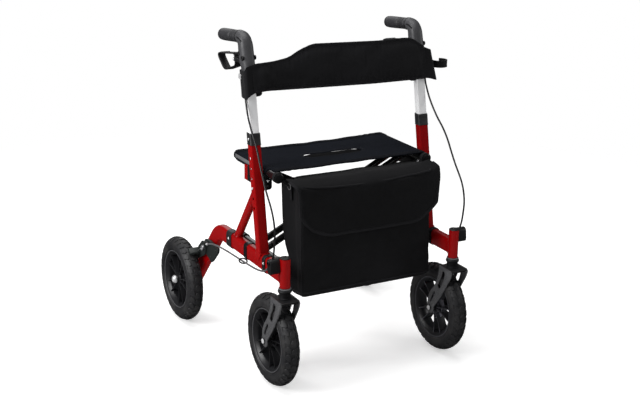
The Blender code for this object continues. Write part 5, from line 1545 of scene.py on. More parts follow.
def make_grips():
    """A rubber grip with a rim, four ring grooves by the handle, and a hard round cap on its end."""
    start = Vector((FRAME_X, *GRIP_START))
    radius, length = GRIP_RADIUS, GRIP_LENGTH
    profile = [(0, 0.0100), (0, radius + 0.0006), (0.0006, radius + 0.0012), (0.0052, radius + 0.0012)]
    profile += [
        (0.0060, radius + 0.0006), (0.0066, radius - 0.0010), (0.0078, radius - 0.0010),
        (0.0086, radius - 0.0002)
    ]
    for groove in (0.0150, 0.0225, 0.0300, 0.0375):
        profile += [
            (groove - 0.0022, radius), (groove - 0.0008, radius - 0.0017), (groove + 0.0008, radius - 0.0017)
        ]
        profile += [(groove + 0.0022, radius)]
    profile += [
        (0.045, radius + 0.0002), (0.065, radius + 0.0004), (0.085, radius + 0.0004),
        (0.0985, radius + 0.0002)
    ]
    profile += [(0.1020, radius - 0.0006), (0.1032, radius - 0.0016), (0.1032, 0)]
    grip = turn("grip", profile, tuple(start), tuple(grip_direction()), 72)
    put_both(grip, "{side}_grip_sleeve", "{side}_handle", FINISH["grip"], "{side}_grip", 50)
    button = [
        (-0.0087, 0), (-0.0087, 0.0150), (-0.0078, 0.0161), (-0.0050, 0.0158), (-0.0020, 0.0138),
        (-0.0003, 0.0105)
    ]
    button += [(0.0004, 0.0060), (0.0004, 0)]
    end = start + grip_direction() * length
    cap = turn("cap", button, tuple(end), tuple(grip_direction()), 32)
    put_both(cap, "{side}_grip_end_button", "{side}_handle", FINISH["black"])


def lever_outline(offset):
    """The lever's rounded loop in its side plane, moved out by an offset."""
    corners = [Vector(corner) for corner in LEVER_CORNERS]
    path = []
    for index, corner in enumerate(corners):
        before = (corners[index - 1] - corner).normalized()
        after = (corners[(index + 1) % 4] - corner).normalized()
        reach = min(LEVER_RADII[index] / math.tan(before.angle(after) / 2), 0.022)
        first, last = corner + before * reach, corner + after * reach
        for step in range(11):
            t = step / 10
            path.append(first * (1 - t) ** 2 + corner * 2 * t * (1 - t) + last * t**2)
    outline = []
    for index, point in enumerate(path):
        along = (path[(index + 1) % len(path)] - path[index - 1]).normalized()
        outline.append(tuple(point + Vector((-along.y, along.x)) * offset))
    return outline


def make_levers():
    """A loop of moulded plastic that the fingers pull up or push down."""
    half = LEVER_THICKNESS / 2
    low, high = FRAME_X - LEVER_HALF, FRAME_X + LEVER_HALF
    lever = plate("lever", lever_outline(half), "X", low, high)
    combine(lever, "DIFFERENCE", plate("loop", lever_outline(-half), "X", low - 0.01, high + 0.01))
    soften(lever, 0.0013, 3, 40)
    put_both(lever, "{side}_lever_loop", "{side}_lever", FINISH["black"], "{side}_brake_lever", 40)
    knuckle = [
        (low, 0.0026), (low, 0.0056), (low + 0.0006, 0.0062), (high - 0.0006, 0.0062), (high, 0.0056),
        (high, 0.0026)
    ]
    hub = turn("knuckle", knuckle + knuckle[:1], (0, *LEVER_HINGE), (1, 0, 0), 32)
    put_both(hub, "{side}_lever_knuckle", "{side}_lever", FINISH["gloss_black"])
    rest = strip([(0.030, 0.8515), (0.058, 0.8462)], 0.0034)
    pad = plate("pad", rest, "X", FRAME_X - LEVER_HALF + 0.0030, FRAME_X + LEVER_HALF - 0.0030)
    put_both(soften(pad, 0.0010, 2, 40), "{side}_lever_finger_pad", "{side}_lever", FINISH["grip"])


# Brake cables and rear brakes


def cable_port():
    """Where the brake cable leaves the handle, as (y, z)."""
    return (column_y(HANDLE_Z - 0.002) - 0.005, HANDLE_Z - 0.002)


def cable_route(side):
    """The cable's points: down from the handle, back along the rail and up to the brake."""
    port_y, port_z = cable_port()
    lean = Vector((COLUMN_LEAN, 1)).normalized()
    points = [
        (CABLE_PORT_X, port_y - lean.x * 0.0009, port_z - lean.y * 0.0009),
        (CABLE_PORT_X, port_y - lean.x * 0.012, port_z - lean.y * 0.012),
        (0.2795, -0.1245, 0.746),
        (0.2820, -0.1450, 0.706),
        (0.2840, -0.1775, 0.667),
        (0.2865, -0.2030, 0.638),
        (0.2890, -0.2215, 0.610),
        (0.2900, -0.2395, 0.578),
        (0.2905, -0.2600, 0.546),
        (0.2910, -0.2960, 0.500),
        (0.2910, -0.3130, 0.456),
        (0.2910, -0.3140, 0.412),
        (0.2910, -0.3100, 0.382),
        (0.2910, -0.2985, 0.361),
        (0.2910, -0.2820, 0.341),
        (0.2910, -0.2570, 0.3245),
        (0.2910, -0.2150, 0.3150),
        (0.2910, -0.1500, 0.3100),
        (0.2910, -0.0900, 0.307),
        (0.2905, -0.0200, 0.303),
        (0.2900, 0.0390, 0.297),
        (0.2890, 0.0810, 0.289),
        (0.2885, 0.1060, 0.2815),
        (0.2885, 0.1237, 0.2755),
    ]
    out, forward = CABLE_BOW[side]
    route = []
    for x, y, z in points:
        bow = max(1 - ((z - 0.52) / 0.15) ** 2, 0)
        route.append((SIDES[side] * (x + out * bow), y + forward * bow, z))
    return smooth_route(route, 140)


def make_cables():
    """The brake cables, with a ferrule at the handle and an adjuster at the brake."""
    for side, sign in SIDES.items():
        route = cable_route(side)
        housing = tube("cable", route, CABLE_RADIUS, 12)
        rising = (
            f"{side}_frame", f"{side}_handle", (sign * 0.291, -0.31, 0.42), (sign * 0.2785, -0.12, 0.765)
        )
        put(housing, f"{side}_cable_housing", rising, FINISH["cable"], f"{side}_brake_cable", 60)

        first, second = route[0], route[2]
        ferrule = [(0, 0), (0, 0.0030), (0.0105, 0.0030), (0.0110, 0.0027), (0.0110, 0)]
        top = turn("ferrule", ferrule, tuple(first), tuple((second - first).normalized()), 20)
        put(top, f"{side}_cable_top_ferrule", f"{side}_handle", FINISH["steel"])
        last, before = route[-1], route[-4]
        back = (before - last).normalized()
        end = turn("ferrule", ferrule, tuple(last), tuple(back), 20)
        screw_line = [(-0.0250, 0), (-0.0250, 0.0008), (0, 0.0008), (0, 0)]
        wire = turn("wire", screw_line, tuple(last), tuple(back), 10)
        barrel = [
            (-0.0165, 0), (-0.0165, 0.0032), (-0.0125, 0.0038), (-0.0115, 0.0038), (-0.0105, 0.0028),
            (-0.0005, 0.0028), (-0.0005, 0)
        ]
        adjuster = turn("adjuster", barrel, tuple(last), tuple(back), 16)
        put(join(end, wire, adjuster), f"{side}_cable_lower_ferrule", f"{side}_frame", FINISH["steel"])


def make_guides():
    """The clip at the head tube that leads the cable round to the rail, with a knob on its side."""
    outline = [(y - 0.3130 + 0.10 * z, z + 0.3565) for y, z in rounded(0.0215, 0.040, 0.0095, 6)]
    for side, sign in SIDES.items():
        low, high = sorted((sign * (FRAME_X + RAIL_SIZE[0] / 2 + 0.0002), sign * 0.3035))
        guide = plate("guide", outline, "X", low, high)
        bore = [(0.30, 0), (0.30, HEAD_TUBE_RADIUS + 0.0003), (0.40, HEAD_TUBE_RADIUS + 0.0003), (0.40, 0)]
        combine(guide, "DIFFERENCE", turn("bore", bore, (sign * FRAME_X, CASTER_Y, 0), (0, 0, 1), 32))
        near = [point for point in cable_route(side) if point.z < 0.412 and point.y < -0.235]
        outer = [point + Vector((sign * 0.004, 0, 0)) for point in near]
        combine(guide, "DIFFERENCE", tube("channel", near, CABLE_RADIUS + 0.0005, 16))
        combine(guide, "DIFFERENCE", tube("mouth", outer, CABLE_RADIUS - 0.0002, 12))
        soften(guide, 0.0010, 2, 45)
        put(guide, f"{side}_cable_guide_clip", f"{side}_frame", FINISH["black"], f"{side}_cable_guide")
        foot = (sign * 0.3030, -0.3115, 0.3665)
        put(
            screw("knob", foot, (sign, 0, 0), 0.0072, 0.0042), f"{side}_cable_guide_knob", f"{side}_frame",
            FINISH["gloss_black"]
        )


def make_rail_rings():
    """A moulded strap round each rail, with a loose ring under it that the cable runs through."""
    width, height, radius = RAIL_SIZE
    outer = [
        (FRAME_X + u, RAIL_Z + v) for u, v in rounded(width + 0.0030, height + 0.0030, radius + 0.0015, 6)
    ]
    inner = [(FRAME_X + u, RAIL_Z + v) for u, v in rounded(width + 0.0001, height + 0.0001, radius, 6)]
    low, high = RAIL_RING_Y - 0.0095, RAIL_RING_Y + 0.0095
    band = plate("band", outer, "Y", low, high)
    combine(band, "DIFFERENCE", plate("bore", inner, "Y", low - 0.01, high + 0.01))
    soften(band, 0.0006, 2, 40)
    centre = Vector((0.2890, RAIL_RING_Y - 0.016, 0.3085))
    circle = [centre + Vector((math.cos(a) * 0.9, math.cos(a) * 0.9, math.sin(a) * 0.8)) * 0.0090
              for a in [2 * math.pi * step / 40 for step in range(40)]]
    ring = tube("ring", circle, 0.0021, 12, closed=True)
    put_both(band, "{side}_rail_strap", "{side}_frame", FINISH["gloss_black"])
    put_both(ring, "{side}_rail_strap_ring", "{side}_frame", FINISH["gloss_black"])


def make_brakes():
    """The rear brakes: the riveted plate, the arm with its ribbed shoe, the pivot bolt and the spring."""
    outline = [(0.059, 0.2800), (0.063, 0.2660), (0.097, 0.2320), (0.108, 0.2235), (0.140, 0.2360)]
    outline += [(0.160, 0.2430), (0.166, 0.2580), (0.150, 0.2820), (0.120, 0.2870)]
    bracket = plate("bracket", outline, "X", BRACKET_X[0], BRACKET_X[1])
    vertical = [(0.1240, 0.2690), (0.1340, 0.2660), (0.1370, 0.2790), (0.1270, 0.2820)]
    lug = plate("lug", vertical, "X", BRACKET_X[1] - 0.002, 0.2942)
    bore = [(0.27, 0), (0.27, 0.0034), (0.30, 0.0034), (0.30, 0)]
    combine(bracket, "DIFFERENCE", turn("bore", bore, (0, *BRAKE_PIVOT), (1, 0, 0), 20))
    soften(bracket, 0.0012, 3, 30)
    soften(lug, 0.0010, 2, 30)
    put_both(
        join(bracket, lug), "{side}_brake_plate", "{side}_frame", FINISH["bracket"], "{side}_brake_bracket"
    )
    places = ((0.078, 0.2680), (0.112, 0.2400))
    heads = [rivet("rivet", (BRACKET_X[1], y, z), (1, 0, 0), 0.0042, 0.0020) for y, z in places]
    put_both(join(*heads), "{side}_brake_plate_rivets", "{side}_frame", FINISH["bracket"])

    outline = [
        (0.1405, 0.2700), (0.1520, 0.2760), (0.1640, 0.2730), (0.1890, 0.2500), (0.2100, 0.2210),
        (0.2105, 0.2120)
    ]
    outline += [(0.2030, 0.2060), (0.1940, 0.2080), (0.1750, 0.2190), (0.1480, 0.2330), (0.1375, 0.2500)]
    arm = plate("arm", outline, "X", BRACKET_X[1] + 0.0003, ARM_FACE)
    eye = [(0.27, 0), (0.27, 0.0035), (0.30, 0.0035), (0.30, 0)]
    combine(arm, "DIFFERENCE", turn("eye", eye, (0, 0.2005, 0.2155), (1, 0, 0), 20))
    soften(arm, 0.0010, 2, 40)
    centre = Vector(SHOE_CENTRE)
    out = (centre - Vector(REAR_WHEEL[1:])).normalized()
    along = Vector((-out.y, out.x))
    shoe = plate(
        "shoe", [tuple(centre + along * u + out * v) for u, v in rounded(0.021, 0.0090, 0.003, 4)], "X",
        0.2821, 0.3190
    )
    soften(shoe, 0.0007, 2, 40)
    put_both(
        join(arm, shoe), "{side}_brake_arm_and_shoe", "{side}_brake", FINISH["bracket"], "{side}_brake_arm"
    )
    grooves = []
    for step in range(5):
        face = centre - out * 0.0042
        rib = [tuple(face + along * u + out * v) for u, v in rounded(0.0185, 0.0022, 0.0006, 2)]
        x = 0.2852 + step * 0.0070
        grooves.append(plate("rib", rib, "X", x, x + 0.0042))
    put_both(join(*grooves), "{side}_shoe_ribs", "{side}_brake", FINISH["gloss_black"])
    bolt = screw("bolt", (ARM_FACE - 0.0002, *BRAKE_PIVOT), (1, 0, 0), 0.0058, 0.0036)
    pin = turn(
        "pin", [(0.2760, 0), (0.2760, 0.0031), (ARM_FACE, 0.0031), (ARM_FACE, 0)], (0, *BRAKE_PIVOT),
        (1, 0, 0), 20
    )
    put_both(join(bolt, pin), "{side}_brake_pivot_bolt", "{side}_brake", FINISH["steel"])

    coil = []
    for step in range(64):
        angle = 2 * math.pi * step / 16
        coil.append(
            (0.2880 + 0.0011 * step / 16, 0.151 + 0.0072 * math.cos(angle), 0.256 + 0.0072 * math.sin(angle))
        )
    leg = [
        (0.2926, 0.1600, 0.2500), (0.2930, 0.1700, 0.2440), (0.2915, 0.1850, 0.2330), (0.2890, 0.1950, 0.2240)
    ]
    spring = tube("spring", [Vector(p) for p in coil[:-2]] + smooth_route([coil[-2], *leg], 16), 0.0010, 8)
    put_both(spring, "{side}_brake_return_spring", "{side}_brake", FINISH["wire"])


def make_cane_clip():
    """An open moulded ring with a raised rim along each edge, on a short stem."""
    centre = (0.3350, -0.104)
    low, high = 0.7885, 0.8085
    opening = arc(centre, 0.0226, 150, 415, 60)
    closing = arc(centre, 0.0202, 415, 150, 60)
    band = plate("band", opening + closing, "Z", low, high)
    rims = []
    for edge in (low, high - 0.0032):
        outline = arc(centre, 0.0230, 151, 414, 60) + arc(centre, 0.0206, 414, 151, 60)
        rims.append(soften(plate("rim", outline, "Z", edge, edge + 0.0032), 0.0007, 2, 40))
    for angle in (55, 150):
        spot = (
            centre[0] + 0.0215 * math.cos(math.radians(angle)),
            centre[1] + 0.0215 * math.sin(math.radians(angle)), 0
        )
        bead = [(low, 0), (low, 0.0014), (low + 0.0006, 0.0019)]
        bead += [(high - 0.0006, 0.0019), (high, 0.0014), (high, 0)]
        rims.append(turn("lip", bead, spot, (0, 0, 1), 16))
    stem = plate(
        "stem", [(0.2988, -0.112), (0.3130, -0.1105), (0.3130, -0.0960), (0.2988, -0.0952)], "Z", low + 0.001,
        high - 0.001
    )
    soften(stem, 0.0012, 2, 40)
    soften(band, 0.0004, 1, 40)
    ring = join(band, stem, *rims)
    put(ring, "cane_ring", "right_handle", FINISH["black"], "cane_clip")


# Cloth and sewing


def cloth_patch(name, columns, rows, place, thickness=0.0016):
    """A sheet: a grid whose points are put in place by place(across, along), both from 0 to 1."""
    deselect()
    bpy.ops.mesh.primitive_grid_add(x_subdivisions=columns, y_subdivisions=rows, size=1)
    obj = bpy.context.object
    obj.name = name
    for vert in obj.data.vertices:
        vert.co = place(min(max(vert.co.x + 0.5, 0), 1), min(max(vert.co.y + 0.5, 0), 1))
    if thickness:
        modify(obj, "SOLIDIFY", thickness=thickness, offset=0, use_even_offset=True)
    return mend(obj)


def ribbon(name, centres, outs, width, thickness, corner=None):
    """A tape along a line of points, with its flat side facing out."""
    corner = corner if corner else thickness * 0.45
    section = rounded(width, thickness, corner, 2)
    rings = []
    for index, (centre, out) in enumerate(zip(centres, outs)):
        before, after = Vector(centres[max(index - 1, 0)]), Vector(centres[min(index + 1, len(centres) - 1)])
        along = (after - before).normalized()
        outward = (Vector(out) - along * along.dot(Vector(out))).normalized()
        across = along.cross(outward)
        rings.append([Vector(centre) + across * u + outward * v for u, v in section])
    return loft(name, rings)


def sew(name, line, outs, pitch=0.0046, length=0.0031, thread=0.0009):
    """A row of stitches: one short thread, laid again and again along a line of points."""
    deselect()
    bpy.ops.mesh.primitive_uv_sphere_add(segments=6, ring_count=4, radius=0.5)
    stitch = bpy.context.object
    stitch.scale = (length, thread, thread * 0.8)
    bpy.ops.object.transform_apply(location=False, rotation=False, scale=True)
    row = bmesh.new()
    travelled, wanted = 0.0, pitch / 2
    for index in range(len(line) - 1):
        here, there = Vector(line[index]), Vector(line[index + 1])
        span = (there - here).length
        while span > 0 and wanted <= travelled + span:
            share = (wanted - travelled) / span
            along = (there - here).normalized()
            out = Vector(outs[index]).lerp(Vector(outs[index + 1]), share)
            out = (out - along * along.dot(out)).normalized()
            turned = Matrix((along, out.cross(along), out)).transposed().to_4x4()
            before = len(row.verts)
            row.from_mesh(stitch.data)
            row.verts.ensure_lookup_table()
            fresh = row.verts[before:]
            place = Matrix.Translation(here.lerp(there, share) + out * thread * 0.15) @ turned
            bmesh.ops.transform(row, matrix=place, verts=fresh)
            wanted += pitch
        travelled += span
    row.to_mesh(stitch.data)
    row.free()
    stitch.name = name
    return stitch


def wrinkle(x, y, z, size, depth, seed=0.0):
    """A soft bump from smooth noise, about one size across."""
    return depth * noise.noise(Vector((x, y, z)) / size + Vector((seed, seed * 1.7, seed * 2.3)))


# Seat


def seat_front(x):
    return SEAT_FRONT + SEAT_HOLLOW * (1 - (x / SEAT_RAIL_X) ** 2)


def seat_back(x):
    past = abs(x) - (SEAT_RAIL_X + 0.016 - SEAT_CORNER)
    if past <= 0:
        return SEAT_BACK
    return SEAT_BACK - (SEAT_CORNER - math.sqrt(max(SEAT_CORNER**2 - past**2, 0)))


def seat_point(travel, lift=0.0):
    """Across the cloth from its middle: x, z and the way out, past the rail's top and down its side."""
    sign = 1 if travel >= 0 else -1
    reach = abs(travel)
    radius = SEAT_RAIL_RADIUS + 0.0013
    if reach <= SEAT_RAIL_X:
        drop = SEAT_SAG * max(1 - (reach / 0.214) ** 2, 0)
        return Vector((sign * reach, 0, SEAT_RAIL_Z + radius - drop + lift)), Vector((0, 0, 1))
    angle = math.pi / 2 - (reach - SEAT_RAIL_X) / radius
    out = Vector((sign * math.cos(angle), 0, math.sin(angle)))
    return Vector((sign * SEAT_RAIL_X, 0, SEAT_RAIL_Z)) + out * (radius + lift), out


def seat_place(travel, share, lift=0.0):
    """A point of the seat: across it, and from its front edge to its back edge."""
    point, out = seat_point(travel, lift)
    front, back = seat_front(point.x), seat_back(point.x)
    point.y = front + (back - front) * share
    open_part = max(1 - (abs(travel) / 0.225) ** 6, 0)
    pull = 0.0011 * math.sin(share * math.pi) * math.cos(travel * 14)
    ripple = wrinkle(
        point.x, point.y * 0.45, 0, 0.055, 0.0016
    ) + wrinkle(point.x, point.y, 0, 0.02, 0.0005, 4)
    corner = max(1 - abs(abs(travel) - 0.19) / 0.05, 0) * max(1 - min(share, 1 - share) / 0.3, 0)
    fold = 0.0010 * corner * math.sin((abs(point.x) * 0.8 + point.y * (1 if share < 0.5 else -1)) * 420)
    return point + out * ((ripple - pull + fold) * open_part)


SEAT_HALF = SEAT_RAIL_X + 0.0250


def seat_reach(share):
    """How far the cloth runs out: over the rail's top at the front, down its side behind the upright."""
    least = 0.003
    past = min(max((share - 0.14) / 0.06, 0), 1)
    return SEAT_RAIL_X + least + (SEAT_HALF - SEAT_RAIL_X - least) * past


def seat_line(share, offset, lift):
    """Points and ways out along a line across the seat, at an offset from a share of its depth."""
    count = 96
    half = seat_reach(share)
    points, outs = [], []
    for step in range(count + 1):
        travel = -half + 2 * half * step / count
        points.append(seat_place(travel, share, lift) + Vector((0, offset, 0)))
        outs.append(seat_point(travel, lift)[1])
    return points, outs


ACROSS_SEAT = ("cross_b", "cross_a", (-SEAT_RAIL_X, 0, SEAT_RAIL_Z), (SEAT_RAIL_X, 0, SEAT_RAIL_Z))


def make_seat():
    """The sling: one cloth over both rails, hemmed front and back, with grey webbing along its sides."""
    cloth = cloth_patch("cloth", 120, 64, lambda a, b: seat_place((2 * a - 1) * seat_reach(b), b), 0.0019)
    half = SLOT_WIDTH / 2
    hole = strip([(SLOT_X[0] + half, SLOT_Y), (SLOT_X[1] - half, SLOT_Y)], SLOT_WIDTH, 16)
    combine(cloth, "DIFFERENCE", plate("hole", hole, "Z", 0.54, 0.60))
    for sign in (-1, 1):
        low, high = SEAT_RAIL_RADIUS + 0.0004, SEAT_RAIL_RADIUS + 0.0022
        profile = [
            (-0.044, low), (-0.044, high - 0.0004), (-0.0436, high), (0.0191, high), (0.0195, high - 0.0004),
            (0.0195, low)
        ]
        sleeve = turn("sleeve", profile + profile[:1], (sign * SEAT_RAIL_X, 0, SEAT_RAIL_Z), (0, 1, 0), 40)
        cloth = join(cloth, sleeve)
    seat = put(cloth, "seat_sling", ACROSS_SEAT, FINISH["seat"], "seat_fabric", 40)

    hems = []
    for share, offset in ((0.0, 0.0100), (1.0, -0.0095)):
        points, outs = seat_line(share, offset, lift=0.0001)
        hems.append(ribbon("hem", points, outs, 0.0215, 0.0036, 0.0016))
    hem = put(join(*hems), "seat_hems", ACROSS_SEAT, FINISH["seat_hem"], angle=50)

    edging = []
    for sign in (-1, 1):
        def side_place(a, b, sign=sign):
            share = 0.23 + 0.74 * b
            return seat_place(sign * (SEAT_RAIL_X + 0.0135 + 0.0080 * a), share, 0.0017)

        edging.append(cloth_patch("edging", 6, 90, side_place, 0.0011))
    sides = put(join(*edging), "seat_side_webbing", ACROSS_SEAT, FINISH["sleeve"], angle=50)

    rows = []
    for share, offsets in ((0.0, (0.0050, 0.0185)), (1.0, (-0.0045, -0.0180))):
        for offset in offsets:
            rows.append(sew("row", *seat_line(share, offset, lift=0.0021)))
    for sign in (-1, 1):
        for travel, first in ((SEAT_RAIL_X - 0.0085, 1), (SEAT_RAIL_X + 0.0205, 14)):
            spots = [seat_place(sign * travel, step / 60, 0.0023) for step in range(first, 60)]
            out = seat_point(sign * travel)[1]
            rows.append(sew("row", spots, [out] * len(spots)))
    for spread in (half + 0.0045, half + 0.0085):
        hole = strip([(SLOT_X[0] + half, SLOT_Y), (SLOT_X[1] - half, SLOT_Y)], 2 * spread, 16)
        spots = []
        for x, y in hole + hole[:1]:
            share = (y - seat_front(x)) / (seat_back(x) - seat_front(x))
            spots.append(seat_place(x, share, 0.0010))
        rows.append(sew("row", spots, [Vector((0, 0, 1))] * len(spots)))
    stitching = put(join(*rows), "seat_stitching", ACROSS_SEAT, FINISH["thread"], angle=60)


def make_pull_strap():
    """The webbing strap in the slot, sewn on under the cloth at both ends."""
    under, level = SEAT_RAIL_Z + 0.0066, SEAT_RAIL_Z + 0.0082
    left, right = SLOT_X
    route = [(left - 0.012, SLOT_Y, under), (left + 0.006, SLOT_Y, under), (left + 0.030, SLOT_Y, level)]
    route += [
        (0, SLOT_Y, level - 0.0006), (right - 0.030, SLOT_Y, level), (right - 0.006, SLOT_Y, under),
        (right + 0.012, SLOT_Y, under)
    ]
    points = smooth_route(route, 60)
    strap = ribbon("strap", points, [(0, 0, 1)] * len(points), 0.0318, 0.0016, 0.0007)
    strap = put(strap, "seat_pull_webbing", ACROSS_SEAT, FINISH["webbing"], "seat_pull_strap", 50)
    rows = []
    for offset in (-0.0125, 0.0125):
        line = [point + Vector((0, offset, 0.0008)) for point in points]
        rows.append(sew("row", line, [(0, 0, 1)] * len(line)))
    stitching = put(join(*rows), "seat_pull_stitching", ACROSS_SEAT, FINISH["thread"], angle=60)
    length = sum((there - here).length for here, there in zip(points, points[1:]))


# Back band


def band_lean(z):
    return COLUMN_LEAN * (z - 0.80)


def band_front(x):
    near, middle = BAND_FRONT_Y
    return near + (middle - near) * (1 - min(abs(x) / 0.252, 1) ** 2)


def smoothed(line, x):
    """A height on a line of points with its corners rounded off."""
    reach, steps = 0.012, 6
    return sum(
        along_line(line, x + reach * (step / steps * 2 - 1)) for step in range(steps + 1)
    ) / (steps + 1)


def band_pad():
    """The padded front, thick in its middle and thin along its seams, with the seams' small puckers."""
    columns, half_steps = 150, 12
    rings = []
    for column in range(columns + 1):
        x = -BAND_HALF + 2 * BAND_HALF * column / columns
        low, high = smoothed(BAND_BOTTOM, x), smoothed(BAND_TOP, x)
        end = min((BAND_HALF - abs(x)) / 0.03, 1)
        ring = []
        for step in range(2 * half_steps):
            angle = math.pi * step / half_steps
            rise = (1 - math.cos(angle)) / 2 if step <= half_steps else (1 + math.cos(angle - math.pi)) / 2
            z = low + (high - low) * rise
            face = 1 if 0 < step < half_steps else -1 if step > half_steps else 0
            from_edge = min(z - low, high - z)
            swell = 1 - math.exp(-from_edge / 0.010)
            pucker = 0.0007 * math.sin(x * 410 + 2 * math.sin(x * 37)) * math.exp(-from_edge / 0.009)
            dent = wrinkle(x, 0, z * 2.2, 0.045, 0.0022, 2) + wrinkle(x, 0, z, 0.018, 0.0006, 6)
            seam = 0.0010 * math.exp(-(((from_edge - 0.0085) / 0.0020) ** 2))
            thick = 0.0013 + (0.0040 * (0.08 + 0.92 * end)) * swell + dent * swell + pucker - seam
            back = 0.0015
            y = band_front(x) + band_lean(z) - 0.0012 - (thick if face > 0 else -back if face < 0 else 0)
            ring.append((x, y, z))
        rings.append(ring)
    return loft("pad", rings)


def band_wrap(sign):
    """A thin end of the band, wrapped round a handle's outer side to its back."""
    outward = smooth_route([(x, y, flare) for x, y, flare in BAND_SIDE[::-1]], 60)
    front = [Vector((x, band_front(x) - 0.0002, 0)) for x in (0.2452, 0.250, 0.256, 0.262, 0.268)]
    path = front + outward

    def place(a, b):
        """A place on the cloth: a runs along it and b up it, both from 0 to 1."""
        spot = a * (len(path) - 1)
        index = min(int(spot), len(path) - 2)
        x, y, flare = path[index].lerp(path[index + 1], spot - index)
        low, high = smoothed(BAND_BOTTOM, sign * x), smoothed(BAND_TOP, sign * x)
        past = min(max((a - 0.24) / 0.30, 0), 1)
        past = past * past * (3 - 2 * past)
        high = high + (BAND_FLAP_TOP[sign] - high) * past
        low -= 0.006 * past
        if sign > 0:
            x += flare * (0.018 + (0.004 - 0.018) * b)
        z = low + (high - low) * b
        bend = wrinkle(x * 2, y * 2, z, 0.03, 0.0012, 3 + sign) * past
        return Vector((sign * (x + bend), y + band_lean(z), z))

    return cloth_patch("wrap", 90, 24, place, 0.0024)


def make_band(sizes):
    """The back band: the pad, its binding and stitching, and its ends round the handles."""
    columns = 200
    squashed = ("left_handle", "fold", (1, 0, 0), (-FRAME_X, 0, 0), BAND_KEEP)
    pad = band_pad()
    fill_pad(pad, sizes.swell)
    skin = BVHTree.FromObject(pad, bpy.context.evaluated_depsgraph_get())

    def face_of(x, z, otherwise):
        """The pad's front face at a place, or the given depth beside the pad."""
        hit = skin.ray_cast((x, -0.3, z), (0, 1, 0))[0]
        return hit.y if hit else otherwise

    pad = put(pad, "back_band_pad", squashed, FINISH["band"], "back_band", 60)
    rows, tapes = [], []
    for line, away in ((BAND_TOP, -1), (BAND_BOTTOM, 1)):
        xs = [-BAND_HALF + 0.004 + (2 * BAND_HALF - 0.008) * step / columns for step in range(columns + 1)]
        outs = [Vector((0, -1, 0))] * len(xs)
        for inset in (0.0062, 0.0108):
            spots = []
            for x in xs:
                z = smoothed(line, x) + away * inset
                spots.append(Vector((x, face_of(x, z, band_front(x) + band_lean(z) - 0.0034) - 0.0003, z)))
            rows.append(sew("row", spots, outs))
        centres = []
        for x in xs:
            z = smoothed(line, x) + away * 0.0010
            otherwise = band_front(x) + band_lean(z) - 0.0030
            centres.append(Vector((x, face_of(x, z + away * 0.0010, otherwise) + 0.0006, z)))
        tapes.append(ribbon("tape", centres, outs, 0.0068, 0.0034, 0.0015))
    put(join(*tapes), "back_band_binding", squashed, FINISH["tape"], angle=60)
    put(join(*rows), "back_band_stitching", squashed, FINISH["thread"], angle=60)
    for side, sign in SIDES.items():
        wrap = put(band_wrap(sign), f"back_band_{side}_wrap", f"{side}_handle", FINISH["band_end"], angle=60)
    snap = ribbon(
        "snap", [(-0.2868, -0.110, 0.812), (-0.2868, -0.0960, 0.812)], [(-1, 0, 0)] * 2, 0.013, 0.0022
    )
    put(snap, "back_band_slider", "left_handle", FINISH["steel"])


FOAM_PRESSURE = 4
FOAM_GROWTH = 0.035
FOAM_FRAMES = 20
PAD_TENSION, PAD_BENDING = 12, 0.3
SEAM_HELD, END_HELD, BACK_HELD = 0.009, 0.012, 0.0006


def fill_pad(pad, furthest):
    """Lets the foam push the pad's cloth out between its seams, as cloth under a small pressure."""
    rest = [vert.co.copy() for vert in pad.data.vertices]
    group = pad.vertex_groups.new(name="seams")
    for vert in pad.data.vertices:
        x, _, z = vert.co
        from_edge = min(z - smoothed(BAND_BOTTOM, x), smoothed(BAND_TOP, x) - z)
        on_back = vert.co.y > band_front(x) + band_lean(z) - BACK_HELD
        held = from_edge < SEAM_HELD or on_back or BAND_HALF - abs(x) < END_HELD
        group.add([vert.index], 1.0 if held else 0.0, "REPLACE")
    cloth = pad.modifiers.new("cloth", "CLOTH")
    cloth.settings.use_pressure = True
    cloth.settings.uniform_pressure_force = FOAM_PRESSURE
    cloth.settings.tension_stiffness = PAD_TENSION
    cloth.settings.bending_stiffness = PAD_BENDING
    cloth.settings.shrink_min = -FOAM_GROWTH
    cloth.settings.vertex_group_mass = "seams"
    cloth.settings.effector_weights.gravity = 0
    cloth.collision_settings.use_collision = False
    scene = bpy.context.scene
    for frame_number in range(1, FOAM_FRAMES + 1):
        scene.frame_set(frame_number)
    activate(pad)
    bpy.ops.object.modifier_apply(modifier=cloth.name)
    scene.frame_set(1)
    for vert, place in zip(pad.data.vertices, rest):
        move = vert.co - place
        if move.length > furthest:
            vert.co = place + move.normalized() * furthest
    pad.vertex_groups.clear()


# Bag


def bag_level(z):
    """The bag's front and back at a height."""
    front = along_line([(level, y) for level, y, _ in BAG_LEVELS], z)
    back = along_line([(level, y) for level, _, y in BAG_LEVELS], z)
    return front, back


